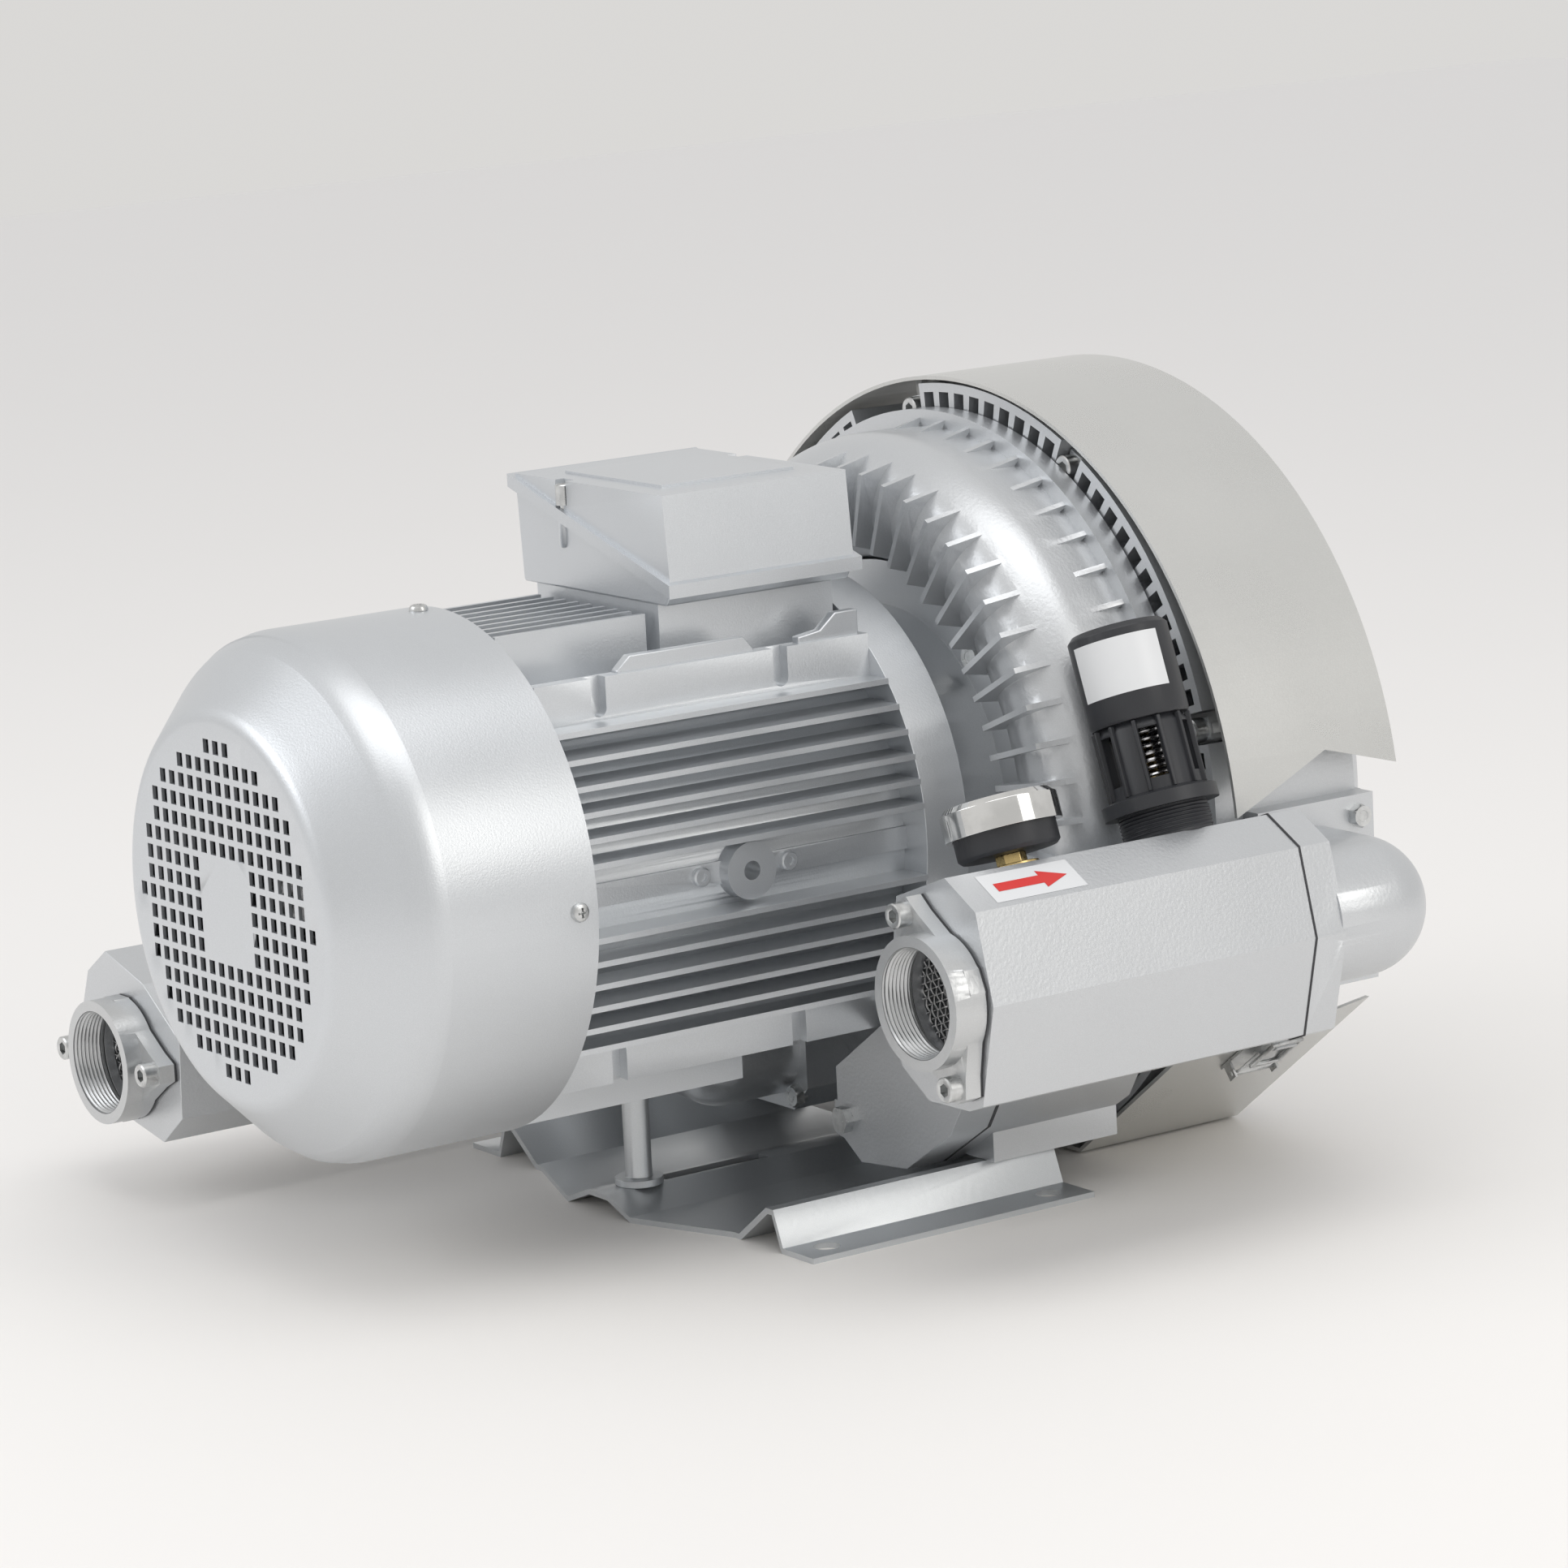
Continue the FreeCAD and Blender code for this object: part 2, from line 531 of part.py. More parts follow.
def sketch_on(body, plane, level=0, turn=0, turn_axis=Vector(0, 0, 1)):
    """A sketch on one of the body's planes, moved along the plane's axis and turned in it."""
    support = [item for item in body.Origin.OriginFeatures if item.Role == f"{plane}_Plane"][0]
    sketch = body.newObject("Sketcher::SketchObject", f"{body.Name}_sketch")
    sketch.AttachmentSupport = [(support, "")]
    sketch.MapMode = "FlatFace"
    sketch.AttachmentOffset = Placement(Vector(), Rotation(turn_axis, 1))
    bind(sketch, "AttachmentOffset.Base.z", -sized(level) if plane == "XZ" else level)
    bind(sketch, "AttachmentOffset.Rotation.Angle", turn)
    return sketch


def edge_between(start, end):
    """A line, or an arc if the end has a radius, positive where the way turns left."""
    first = Vector(float(start[0]), float(start[1]), 0)
    last = Vector(float(end[0]), float(end[1]), 0)
    if len(end) == 2:
        return Part.LineSegment(first, last)
    bend = float(end[2])
    chord = last - first
    rise = math.sqrt(max(bend * bend - chord.Length ** 2 / 4, 0))
    side = Vector(-chord.y, chord.x, 0).normalize() * math.copysign(rise, bend)
    centre = (first + last) / 2 + side
    if bend < 0:
        first, last = last, first
    angles = [math.atan2(point.y - centre.y, point.x - centre.x) for point in (first, last)]
    return Part.ArcOfCircle(Part.Circle(centre, Vector(0, 0, 1), abs(bend)), *angles)


def fixed_point(edge, end, x, y):
    """Constraints that hold a point of an edge at a place, with the sizes that drive them."""
    return [(Sketcher.Constraint("DistanceX", -1, 1, edge, end, float(x)), x),
            (Sketcher.Constraint("DistanceY", -1, 1, edge, end, float(y)), y)]


def constrain(sketch, rules):
    """Adds constraints together and binds those that have a size."""
    first = sketch.ConstraintCount
    sketch.addConstraint([rule for rule, value in rules])
    for index, (rule, value) in enumerate(rules, start=first):
        if value is not None:
            bind(sketch, f"Constraints[{index}]", value)


def outline(sketch, points):
    """Draws a closed outline through points (x, y) or (x, y, radius of the arc that ends there)."""
    first = sketch.GeometryCount
    sketch.addGeometry([edge_between(points[i - 1], point) for i, point in enumerate(points)], False)
    tails = [1 if len(point) == 3 and float(point[2]) < 0 else 2 for point in points]
    rules = []
    for i, point in enumerate(points):
        after = (i + 1) % len(points)
        meeting = Sketcher.Constraint("Coincident", first + i, tails[i], first + after, 3 - tails[after])
        rules.append((meeting, None))
        rules += fixed_point(first + i, tails[i], point[0], point[1])
        if len(point) == 3:
            bend = point[2] if float(point[2]) > 0 else -sized(point[2])
            rules.append((Sketcher.Constraint("Radius", first + i, float(bend)), bend))
    constrain(sketch, rules)


def round_hole(sketch, x, y, radius):
    """Draws a circle."""
    circle = Part.Circle(Vector(float(x), float(y), 0), Vector(0, 0, 1), float(radius))
    edge = sketch.addGeometry(circle, False)
    constrain(sketch, fixed_point(edge, 3, x,
                                  y) + [(Sketcher.Constraint("Radius", edge, float(radius)), radius)])


def rectangle(x_low, y_low, x_high, y_high):
    """Corners of a rectangle."""
    return [(x_low, y_low), (x_high, y_low), (x_high, y_high), (x_low, y_high)]


def slab(body, sketch, length, middle=False, cut=False):
    """Pads or cuts a sketch towards the plane's positive axis, or half to each side."""
    kind = "Pocket" if cut else "Pad"
    feature = body.newObject(f"PartDesign::{kind}", f"{body.Name}_{kind.lower()}")
    feature.Profile = sketch
    bind(feature, "Length", length)
    backwards = sketch.AttachmentSupport[0][0].Role == "XZ_Plane"
    feature.Reversed = backwards != cut
    feature.Midplane = middle
    feature.Refine = False
    return feature


def add(body, plane, points, start, length, **options):
    """Adds a slab with an outline."""
    sketch = sketch_on(body, plane, start, options.pop("turn", 0))
    outline(sketch, points)
    return slab(body, sketch, length, **options)


def drill(body, plane, circles, start, length):
    """Cuts round holes (x, y, radius)."""
    sketch = sketch_on(body, plane, start)
    for circle in circles:
        round_hole(sketch, *circle)
    return slab(body, sketch, length, cut=True)


def revolve(body, points, axis="V", cut=False, plane="XY", angle=360, start=0):
    """Turns an outline (radius, along) about the sketch's upright axis."""
    sketch = sketch_on(body, plane, 0, start, Vector(0, 1, 0))
    outline(sketch, points)
    kind = "Groove" if cut else "Revolution"
    feature = body.newObject(f"PartDesign::{kind}", f"{body.Name}_{kind.lower()}")
    feature.Profile = sketch
    feature.ReferenceAxis = (sketch, [f"{axis}_Axis"])
    feature.Angle = angle
    feature.Refine = False
    return feature


def repeat(body, feature, count, angle):
    """Repeats a feature about the body's Y axis over a whole angle."""
    pattern = body.newObject("PartDesign::PolarPattern", f"{body.Name}_pattern")
    pattern.Originals = [feature]
    axis = [item for item in body.Origin.OriginFeatures if item.Role == "Y_Axis"][0]
    pattern.Axis = (axis, [""])
    pattern.Occurrences = count
    bind(pattern, "Angle", angle)
    pattern.Refine = False
    body.Tip = pattern
    return pattern


def place(thing, x=0, y=0, z=0, turn=0, axis=Vector(0, 1, 0)):
    """Moves a piece to its place and turns it there."""
    thing.Placement = Placement(Vector(), Rotation(axis, 1))
    bind(thing, "Placement.Base.x", x)
    bind(thing, "Placement.Base.y", y)
    bind(thing, "Placement.Base.z", z)
    bind(thing, "Placement.Rotation.Angle", turn)
    return thing


def on_shaft(body):
    """Puts a body made about the Y axis at the shaft's height."""
    return place(body, z=s.shaft_height)


# Helpers for primitives

def cylinder(name, radius, height, x, y, z, way="Y"):
    """A cylinder that starts at a point and runs along an axis."""
    item = doc.addObject("Part::Cylinder", name)
    bind(item, "Radius", radius)
    bind(item, "Height", height)
    axis, turn = ALONG[way]
    return place(item, x, y, z, turn, axis)


def prism(name, radius, height, x, y, z, way="Y"):
    """A hexagonal bar that starts at a point and runs along an axis."""
    item = doc.addObject("Part::Prism", name)
    item.Polygon = 6
    bind(item, "Circumradius", radius)
    bind(item, "Height", height)
    axis, turn = ALONG[way]
    return place(item, x, y, z, turn, axis)


def ball(name, radius, x, y, z):
    """A sphere."""
    item = doc.addObject("Part::Sphere", name)
    bind(item, "Radius", radius)
    return place(item, x, y, z)


def box(name, x, y, z, far_x, far_y, far_z):
    """A block between two corners."""
    item = doc.addObject("Part::Box", name)
    bind(item, "Length", far_x - x)
    bind(item, "Width", far_y - y)
    bind(item, "Height", far_z - z)
    return place(item, x, y, z)


def fuse(name, items):
    """Joins solids."""
    item = doc.addObject("Part::MultiFuse", name)
    item.Shapes = items
    return item


def subtract(name, base, tool):
    """Takes one solid out of another."""
    item = doc.addObject("Part::Cut", name)
    item.Base = base
    item.Tool = tool
    return item


def fasteners(name, places, head, way, sides=0):
    """Screws or bolts: head (radius, height, shank radius, shank length), the head's foot at each place."""
    radius, height, shank, length = head
    shapes = []
    for index, (x, y, z) in enumerate(places):
        maker = prism if sides else cylinder
        against = {"Y": "back", "back": "Y"}[way]
        shapes.append(maker(f"{name}_head_{index}", radius, height, x, y, z, against))
        shapes.append(cylinder(f"{name}_shank_{index}", shank, length, x, y, z, way))
    return fuse(name, shapes)


def ring_points(inner, outer, front, back):
    """Outline of a plain ring for revolve."""
    return [(inner, front), (outer, front), (outer, back), (inner, back)]


# Base

def base_plate():
    """Bent sheet with a ridge on each side and a rib in the middle, trimmed to a tongue at the front."""
    body = new_body("base_plate")
    top = [(s.base_half, s.base_sheet), (s.flange_inner, s.base_sheet), (s.ridge_outer, s.ridge_top),
           (s.ridge_inner, s.ridge_top), (s.ridge_foot, s.base_sheet), (s.rib_foot, s.base_sheet),
           (s.rib_half, s.rib_top)]
    under = [(x - s.base_sheet / 2 if i in (1, 2) else x, z - s.base_sheet)
             for i, (x, z) in enumerate(top)]
    under[3] = (s.ridge_inner + s.base_sheet / 2, s.ridge_top - s.base_sheet)
    under[4] = (s.ridge_foot + s.base_sheet / 2, sized(0))
    half = top + [(-x, z) for x, z in reversed(top)]
    back = [(-x, z) for x, z in under] + list(reversed(under))
    add(body, "XZ", half + back, -s.base_tongue, s.base_tongue + s.base_front)
    for side in (1, -1):
        corner = [(side * (s.base_half + 1), -s.base_front), (side * s.tongue_wide, -s.base_front),
                  (side * s.tongue_narrow, -s.base_tongue), (side * s.tongue_narrow, -s.base_tongue - 1),
                  (side * (s.base_half + 1), -s.base_tongue - 1)]
        add(body, "XY", corner, -1, s.ridge_top + 2, cut=True)
    holes = [(x * s.foot_spacing_x / 2, y * s.foot_spacing_y / 2, s.foot_hole)
             for x in (1, -1) for y in (1, -1)]
    drill(body, "XY", holes, -1, s.base_sheet + 2)
    slot = rectangle(-s.rib_slot_half, -s.rib_slot_front, s.rib_slot_half, -s.rib_slot_back)
    add(body, "XY", slot, 1, s.rib_top, cut=True)
    studs = [(side * s.foot_stud_x, (s.foot_lug_front + s.foot_lug_back) / 2, s.hex_shank + s.screw_gap)
             for side in (1, -1)]
    drill(body, "XY", studs, s.base_sheet, s.ridge_top)
    gap = rectangle(-s.rib_foot, s.rib_back, s.rib_foot, s.base_front + 1)
    add(body, "XY", gap, -1, s.rib_top + 2, cut=True)
    return body


def motor_post():
    """Round post with a disc at its foot, between the rib and the motor."""
    disc_top = s.rib_top + s.post_disc_thick
    post_top = s.shaft_height - s.barrel_outer - s.air_gap
    disc = cylinder("post_disc_blank", s.post_disc, s.post_disc_thick, 0, -s.post_y, s.rib_top, "Z")
    rod = cylinder("post_rod", s.post_radius, post_top - disc_top, 0, -s.post_y, disc_top, "Z")
    return fuse("motor_post", [disc, rod])


def foot_bolts():
    """Studs that stand in the ridges and hold the casing's foot lugs, with a turned-down point."""
    shapes = []
    middle = (s.foot_lug_front + s.foot_lug_back) / 2
    foot = s.ridge_top - s.base_sheet
    for side in (1, -1):
        shapes.append(cylinder(f"foot_stud_{side + 1}", s.hex_shank, s.foot_stud_length - s.hex_shank / 2,
                               side * s.foot_stud_x, middle, foot, "Z"))
        shapes.append(cylinder(f"foot_stud_point_{side + 1}", s.hex_shank * 0.75, s.foot_stud_length,
                               side * s.foot_stud_x, middle, foot, "Z"))
    return fuse("foot_bolts", shapes)


# Motor

def side_fin(height):
    """Section of a side fin at a height above the shaft, from inside the barrel to the tips."""
    root_x = s.barrel_inner + 4
    inner = root(root_x * root_x - height * height)
    tip = root(s.fin_tip * s.fin_tip - height * height)
    return inner, tip


def motor_frame():
    """Barrel with cooling fins, four corner pads, side bosses and the neck of the terminal box."""
    body = new_body("motor_frame")
    length = s.frame_back - s.frame_front
    sketch = sketch_on(body, "XZ", s.frame_front)
    round_hole(sketch, 0, 0, s.barrel_outer)
    slab(body, sketch, length)
    sketch = sketch_on(body, "XZ", s.frame_front)
    for step in range(6):
        for up in (1, -1):
            middle = up * (s.fin_first + step * s.fin_pitch)
            inner, tip = side_fin(middle)
            for side in (1, -1):
                outline(sketch, rectangle(side * inner, middle - s.fin_thick / 2,
                                          side * tip, middle + s.fin_thick / 2))
    slab(body, sketch, length)
    for up, back in ((1, s.top_fin_back), (-1, s.low_fin_back)):
        sketch = sketch_on(body, "XZ", s.frame_front)
        for step in range(-4, 5):
            if step == 0 and up < 0:
                continue
            middle = step * s.fin_pitch
            foot = root(s.barrel_inner * s.barrel_inner - middle * middle) + 4
            outline(sketch, rectangle(middle - s.fin_thick / 2, up * foot,
                                      middle + s.fin_thick / 2, up * s.top_fin_tip))
        slab(body, sketch, back - s.frame_front)
    for side in (1, -1):
        for up in (1, -1):
            corner = [(side * s.pad_inner, up * s.pad_low), (side * (s.pad_face - 4), up * (s.pad_low - 3)),
                      (side * s.pad_face, up * s.pad_low), (side * s.pad_face, up * s.pad_high),
                      (side * (s.pad_face - 9), up * s.pad_high),
                      (side * s.pad_inner, up * (s.pad_high - 14))]
            add(body, "XZ", corner, s.frame_front, length)
            for middle in (s.notch_front, s.notch_back):
                low, high = up * (s.pad_high - s.notch_depth), up * (s.pad_high + 1)
                notch = [(middle - s.notch_half, high), (middle - s.notch_half, low),
                         (middle + s.notch_half, low, up * s.notch_half * 1.001),
                         (middle + s.notch_half, high)]
                add(body, "YZ", notch, side * s.pad_face - (7 if side > 0 else 1), 8, cut=True)
    for side in (1, -1):
        rib = rectangle(side * (s.barrel_inner + 4), -6, side * s.rib_mid_out, 6)
        add(body, "XZ", rib, s.frame_front, length)
    sketch = sketch_on(body, "YZ", s.barrel_outer - 6)
    round_hole(sketch, s.boss_y, 0, s.boss_radius)
    slab(body, sketch, s.boss_face - s.barrel_outer + 6)
    neck_low = s.barrel_inner - 20
    neck = rectangle(-s.neck_half, s.neck_front, s.neck_half, s.neck_back)
    add(body, "XY", neck, neck_low, s.box_floor - s.shaft_height - neck_low)
    drill(body, "XZ", [(0, 0, s.barrel_inner)], s.frame_front - 1, length + 2)
    drill(body, "YZ", [(s.boss_y, 0, s.boss_hole)], s.boss_face - s.boss_hole_depth, s.boss_hole_depth + 1)
    return on_shaft(body)


def rim_holes(body, near):
    """Four holes for the cover's screws from a distance outwards, on top, below and at the sides."""
    hole = s.cover_screw_shank + s.screw_gap
    length = s.cover_outer + 1 - near
    for start in (near, -s.cover_outer - 1):
        drill(body, "XY", [(0, s.cover_screw_y, hole)], start, length)
        drill(body, "YZ", [(s.cover_screw_y, 0, hole)], start, length)


def fan_end_shield():
    """End shield with the fan end bearing's seat and a rim for the fan cover."""
    body = new_body("fan_end_shield")
    rim = s.cover_outer - s.cover_sheet - s.air_gap
    bearing_back = s.rear_bearing_front + s.rear_bearing_wide
    spigot = s.barrel_inner - s.air_gap
    revolve(body, [(s.shield_lip, s.rear_bearing_front - 4), (s.shield_hub, s.rear_bearing_front - 4),
                   (s.shield_hub + 4, s.shield_disc_front), (s.shield_rim_inner, s.shield_disc_front),
                   (s.shield_rim_inner, s.shield_rim_front), (rim, s.shield_rim_front),
                   (rim, s.cover_back - 1), (s.fin_tip, s.frame_front), (spigot, s.frame_front),
                   (spigot, s.frame_front + s.spigot_length),
                   (s.spigot_inner, s.frame_front + s.spigot_length),
                   (s.spigot_inner, s.frame_front), (s.shield_hub, s.frame_front),
                   (s.shield_hub, bearing_back), (s.rear_bearing_outer, bearing_back),
                   (s.rear_bearing_outer, s.rear_bearing_front), (s.shield_lip, s.rear_bearing_front)])
    rim_holes(body, s.shield_rim_inner - 1)
    return on_shaft(body)


def stator_core():
    """Ring of laminations in the motor barrel."""
    body = new_body("stator_core")
    revolve(body, ring_points(s.core_inner, s.core_outer, s.core_front, s.core_back))
    return on_shaft(body)


def stator_winding():
    """Winding heads on both ends of the core."""
    heads = []
    for end, start in (("front", s.core_front - s.winding_length), ("back", s.core_back)):
        body = new_body(f"winding_{end}")
        revolve(body, ring_points(s.winding_inner, s.winding_outer, start, start + s.winding_length))
        heads.append(on_shaft(body))
    return fuse("stator_winding", heads)


def slot_places():
    """Middles of the slots that fit in the grille's circle and outside its bare middle."""
    places = []
    reach = int(float(s.grille_radius / s.slot_pitch_z)) + 1
    for column in range(-reach, reach + 1):
        for row in range(-reach, reach + 1):
            x, z = column * float(s.slot_pitch_x), row * float(s.slot_pitch_z)
            corner = math.hypot(abs(x) + float(s.slot_wide) / 2, abs(z) + float(s.slot_high) / 2)
            bare = abs(x) < float(s.grille_centre) and abs(z) < float(s.grille_centre)
            trimmed = abs(x) + abs(z) > 1.7 * float(s.grille_centre)
            if corner < float(s.grille_radius) and (not bare or trimmed):
                places.append((x, z))
    return places


def grille():
    """Flat front of the fan cover: a disc with a slot at each place, cut before it is thickened."""
    front, wide, high = float(s.cover_front), float(s.slot_wide), float(s.slot_high)
    rim = Part.Wire(Part.makeCircle(float(s.grille_edge), Vector(0, front, 0), Vector(0, 1, 0)))
    slots = []
    for x, z in slot_places():
        corners = [Vector(x - wide / 2, front, z - high / 2), Vector(x + wide / 2, front, z - high / 2),
                   Vector(x + wide / 2, front, z + high / 2), Vector(x - wide / 2, front, z + high / 2)]
        slots.append(Part.makePolygon(corners + corners[:1]))
    face = Part.makeFace([rim] + slots, "Part::FaceMakerBullseye")
    disc = doc.addObject("Part::Feature", "grille_disc")
    disc.Shape = face.extrude(Vector(0, float(s.cover_sheet), 0))
    return place(disc, z=s.shaft_height)


def fan_cover():
    """Pressed cover with a sloped front and a grille of slots."""
    body = new_body("fan_cover_skin")
    sheet_in = s.cover_sheet * 0.414
    inner = s.cover_outer - s.cover_sheet
    back_face = s.cover_front + s.cover_sheet
    revolve(body, [(s.grille_edge, s.cover_front), (s.cover_flat, s.cover_front),
                   (s.cover_outer, s.cover_slope_end),
                   (s.cover_outer, s.cover_back), (inner, s.cover_back),
                   (inner, s.cover_slope_end + sheet_in), (s.cover_flat - sheet_in, back_face),
                   (s.grille_edge, back_face)])
    rim_holes(body, inner - 2)
    return fuse("fan_cover", [on_shaft(body), grille()])


def fan_cover_screws():
    """Screws from outside through the cover's rim into the end shield."""
    heads = []
    for turn in (0, 90, 180, 270):
        body = new_body(f"cover_screw_{turn}")
        shank_foot = s.shield_rim_inner + 1
        points = [(0, shank_foot), (s.cover_screw_shank, shank_foot), (s.cover_screw_shank, s.cover_outer),
                  (s.cover_screw_head, s.cover_outer), (s.cover_screw_head, s.cover_outer + 1),
                  (s.cover_screw_shank, s.cover_outer + s.cover_screw_height),
                  (0, s.cover_outer + s.cover_screw_height)]
        revolve(body, points, plane="XZ")
        heads.append(place(body, 0, s.cover_screw_y, s.shaft_height, turn))
    return fuse("fan_cover_screws", heads)


def motor_fan():
    """Hub and disc with straight blades, on the shaft in front of the end shield."""
    body = new_body("motor_fan")
    bore = s.shaft_fan + s.bearing_gap
    disc_front = s.fan_back - s.fan_disc
    revolve(body, [(bore, s.fan_front + 20), (s.fan_hub, s.fan_front + 20), (s.fan_hub, disc_front),
                   (s.fan_radius, disc_front), (s.fan_radius, s.fan_back), (bore, s.fan_back)])
    blade = [(disc_front + 1, s.fan_hub - 4), (disc_front + 1, s.fan_radius),
             (s.fan_blade_side, s.fan_radius),
             (s.fan_front, s.fan_blade_top), (s.fan_front, s.fan_hub - 4)]
    feature = add(body, "YZ", blade, 0, s.fan_blade_thick, middle=True)
    repeat(body, feature, FAN_BLADES, 360)
    return on_shaft(body)


def shaft():
    """Stepped shaft from the motor fan through both impellers to the far bearing."""
    body = new_body("shaft")
    seat_one = s.rear_bearing_front
    seat_two = s.drive_bearing_front
    revolve(body, [(0, s.shaft_front), (s.shaft_fan, s.shaft_front), (s.shaft_fan, s.fan_back + 2),
                   (s.shaft_rear_seat, s.fan_back + 8),
                   (s.shaft_rear_seat, seat_one + s.rear_bearing_wide + 2),
                   (s.shaft_rotor, seat_one + s.rear_bearing_wide + 6), (s.shaft_rotor, seat_two - 4),
                   (s.shaft_drive_seat, seat_two - 4),
                   (s.shaft_drive_seat, s.casing_front + s.hub_plate - 2),
                   (s.shaft_impeller, s.casing_front + s.hub_plate - 2),
                   (s.shaft_impeller, s.far_bearing_front - 3),
                   (s.shaft_far_seat, s.far_bearing_front - 3), (s.shaft_far_seat, s.shaft_back),
                   (0, s.shaft_back)])
    return on_shaft(body)


def rotor_core():
    """Laminations on the shaft inside the stator."""
    body = new_body("rotor_core")
    revolve(body, ring_points(s.shaft_rotor + s.bearing_gap, s.rotor_outer, s.core_front, s.core_back))
    return on_shaft(body)


def bearing(name, inner, outer, front, wide):
    """A bearing as one ring, with a running gap on the shaft."""
    body = new_body(name)
    revolve(body, ring_points(inner + s.bearing_gap, outer - s.bearing_gap, front, front + wide))
    return on_shaft(body)


def motor_flange():
    """Drum between the motor frame and the blower, with the blower end bearing's seat."""
    body = new_body("motor_flange")
    bearing_back = s.drive_bearing_front + s.drive_bearing_wide
    revolve(body, [(s.drum_inner, s.frame_back), (s.drum_flange, s.frame_back),
                   (s.drum_flange, s.drum_flange_back), (s.drum_waist, s.drum_waist_y),
                   (s.drum_tail, s.drum_foot_y), (s.drum_foot, s.drum_foot_y), (s.drum_foot, s.casing_front),
                   (s.hub_bore, s.casing_front), (s.hub_bore, bearing_back),
                   (s.drive_bearing_outer, bearing_back), (s.drive_bearing_outer, s.hub_front),
                   (s.hub_outer, s.hub_front), (s.hub_outer, s.drum_floor_y),
                   (s.drum_inner, s.drum_floor_y)])
    flat = rectangle(-s.drum_flange, -s.drum_flange - 1, s.drum_flange, -s.drum_flat)
    add(body, "XZ", flat, s.frame_back - 1, s.casing_front - s.frame_back + 2, cut=True)
    holes = [(s.flange_bolt_reach * cosine(angle), s.flange_bolt_reach * sine(angle),
              s.hex_shank + s.screw_gap) for angle in FLANGE_BOLTS]
    drill(body, "XZ", holes, s.drum_foot_y - 1, s.casing_front - s.drum_foot_y + 2)
    return on_shaft(body)


def flange_bolts():
    """Hexagon bolts that hold the drum on the front casing."""
    places = [(s.flange_bolt_reach * cosine(angle), s.drum_foot_y,
               s.shaft_height + s.flange_bolt_reach * sine(angle)) for angle in FLANGE_BOLTS]
    length = s.casing_front - s.drum_foot_y + 5
    return fasteners("flange_bolts", places, (s.hex_head, s.hex_height, s.hex_shank, length), "Y", 6)


# Terminal box

def joint_height(x):
    """Height of the slanted joint of the terminal box at a place across."""
    slope = (s.lid_high - s.lid_low) / (s.lid_half + 1 + s.lid_foot)
    return s.lid_low + slope * (s.lid_foot - x)


def terminal_box_base():
    """Lower half of the terminal box, closed by the slanted joint."""
    body = new_body("terminal_box_base")
    right, left = s.lid_foot - 2, -s.lid_half - 1
    skin = [(-s.box_half, s.box_floor), (s.box_half, s.box_floor), (right, joint_height(right) - s.air_gap),
            (left, joint_height(left) - s.air_gap)]
    add(body, "XZ", skin, s.lid_front, s.lid_back - s.lid_front)
    wall = s.lid_wall
    inside = [(-s.box_half + wall, s.box_floor + wall), (s.box_half - wall, s.box_floor + wall),
              (s.box_half - wall, s.lid_top), (-s.lid_half + wall, s.lid_top)]
    add(body, "XZ", inside, s.lid_front + wall, s.lid_back - s.lid_front - 2 * wall, cut=True)
    return body


def terminal_box_lid():
    """Lid with a slanted joint, a lip along it, a raised panel, and a groove and a boss for each screw."""
    body = new_body("terminal_box_lid")
    left = -s.lid_half - 1
    skin = [(s.lid_foot, s.lid_low), (s.lid_half, s.lid_top), (-s.lid_half, s.lid_top), (left, s.lid_high)]
    depth = s.lid_back - s.lid_front
    add(body, "XZ", skin, s.lid_front, depth)
    out, wall = s.lip_out, s.lid_wall
    low, high = joint_height(s.lid_foot + out), joint_height(left - out)
    lip = [(s.lid_foot + out, low), (s.lid_foot + out, low + s.lip_high),
           (left - out, high + s.lip_high), (left - out, high)]
    add(body, "XZ", lip, s.lid_front - out, depth + 2 * out)
    inside = [(s.lid_foot - wall - 1, s.lid_low - out - 1), (s.lid_half - wall, s.lid_top - wall),
              (-s.lid_half + wall, s.lid_top - wall), (-s.lid_half + wall, s.lid_high - out - 1)]
    add(body, "XZ", inside, s.lid_front + wall, depth - 2 * wall, cut=True)
    near, far = s.lid_screw_x + s.lid_boss_half, s.lid_screw_x - s.lid_boss_half
    boss = [(near, joint_height(near)), (near, s.lid_top), (far, s.lid_top), (far, joint_height(far))]
    foot = joint_height(s.lid_screw_x - s.lid_screw_groove) + s.lip_high
    for start, side in ((s.lid_front, 1), (s.lid_back, -1)):
        inner = start if side > 0 else start - s.lid_boss_depth
        add(body, "XZ", boss, inner, s.lid_boss_depth)
        groove = rectangle(s.lid_screw_x - s.lid_screw_groove, start - side,
                           s.lid_screw_x + s.lid_screw_groove, start + side * s.lid_screw_depth)
        add(body, "XY", groove, foot, s.lid_top + 1 - foot, cut=True)
        hole = (s.lid_screw_x, start + side * s.lid_screw_inset, s.lid_screw_shank + s.screw_gap)
        drill(body, "XY", [hole], foot - 2 * s.lip_high, 2 * s.lip_high + 1)
    panel = rectangle(-s.panel_half_x, s.lid_front + s.panel_margin, s.panel_half_x,
                      s.lid_back - s.panel_margin)
    add(body, "XY", panel, s.lid_top - wall / 2, s.panel_rise + wall / 2)
    return body


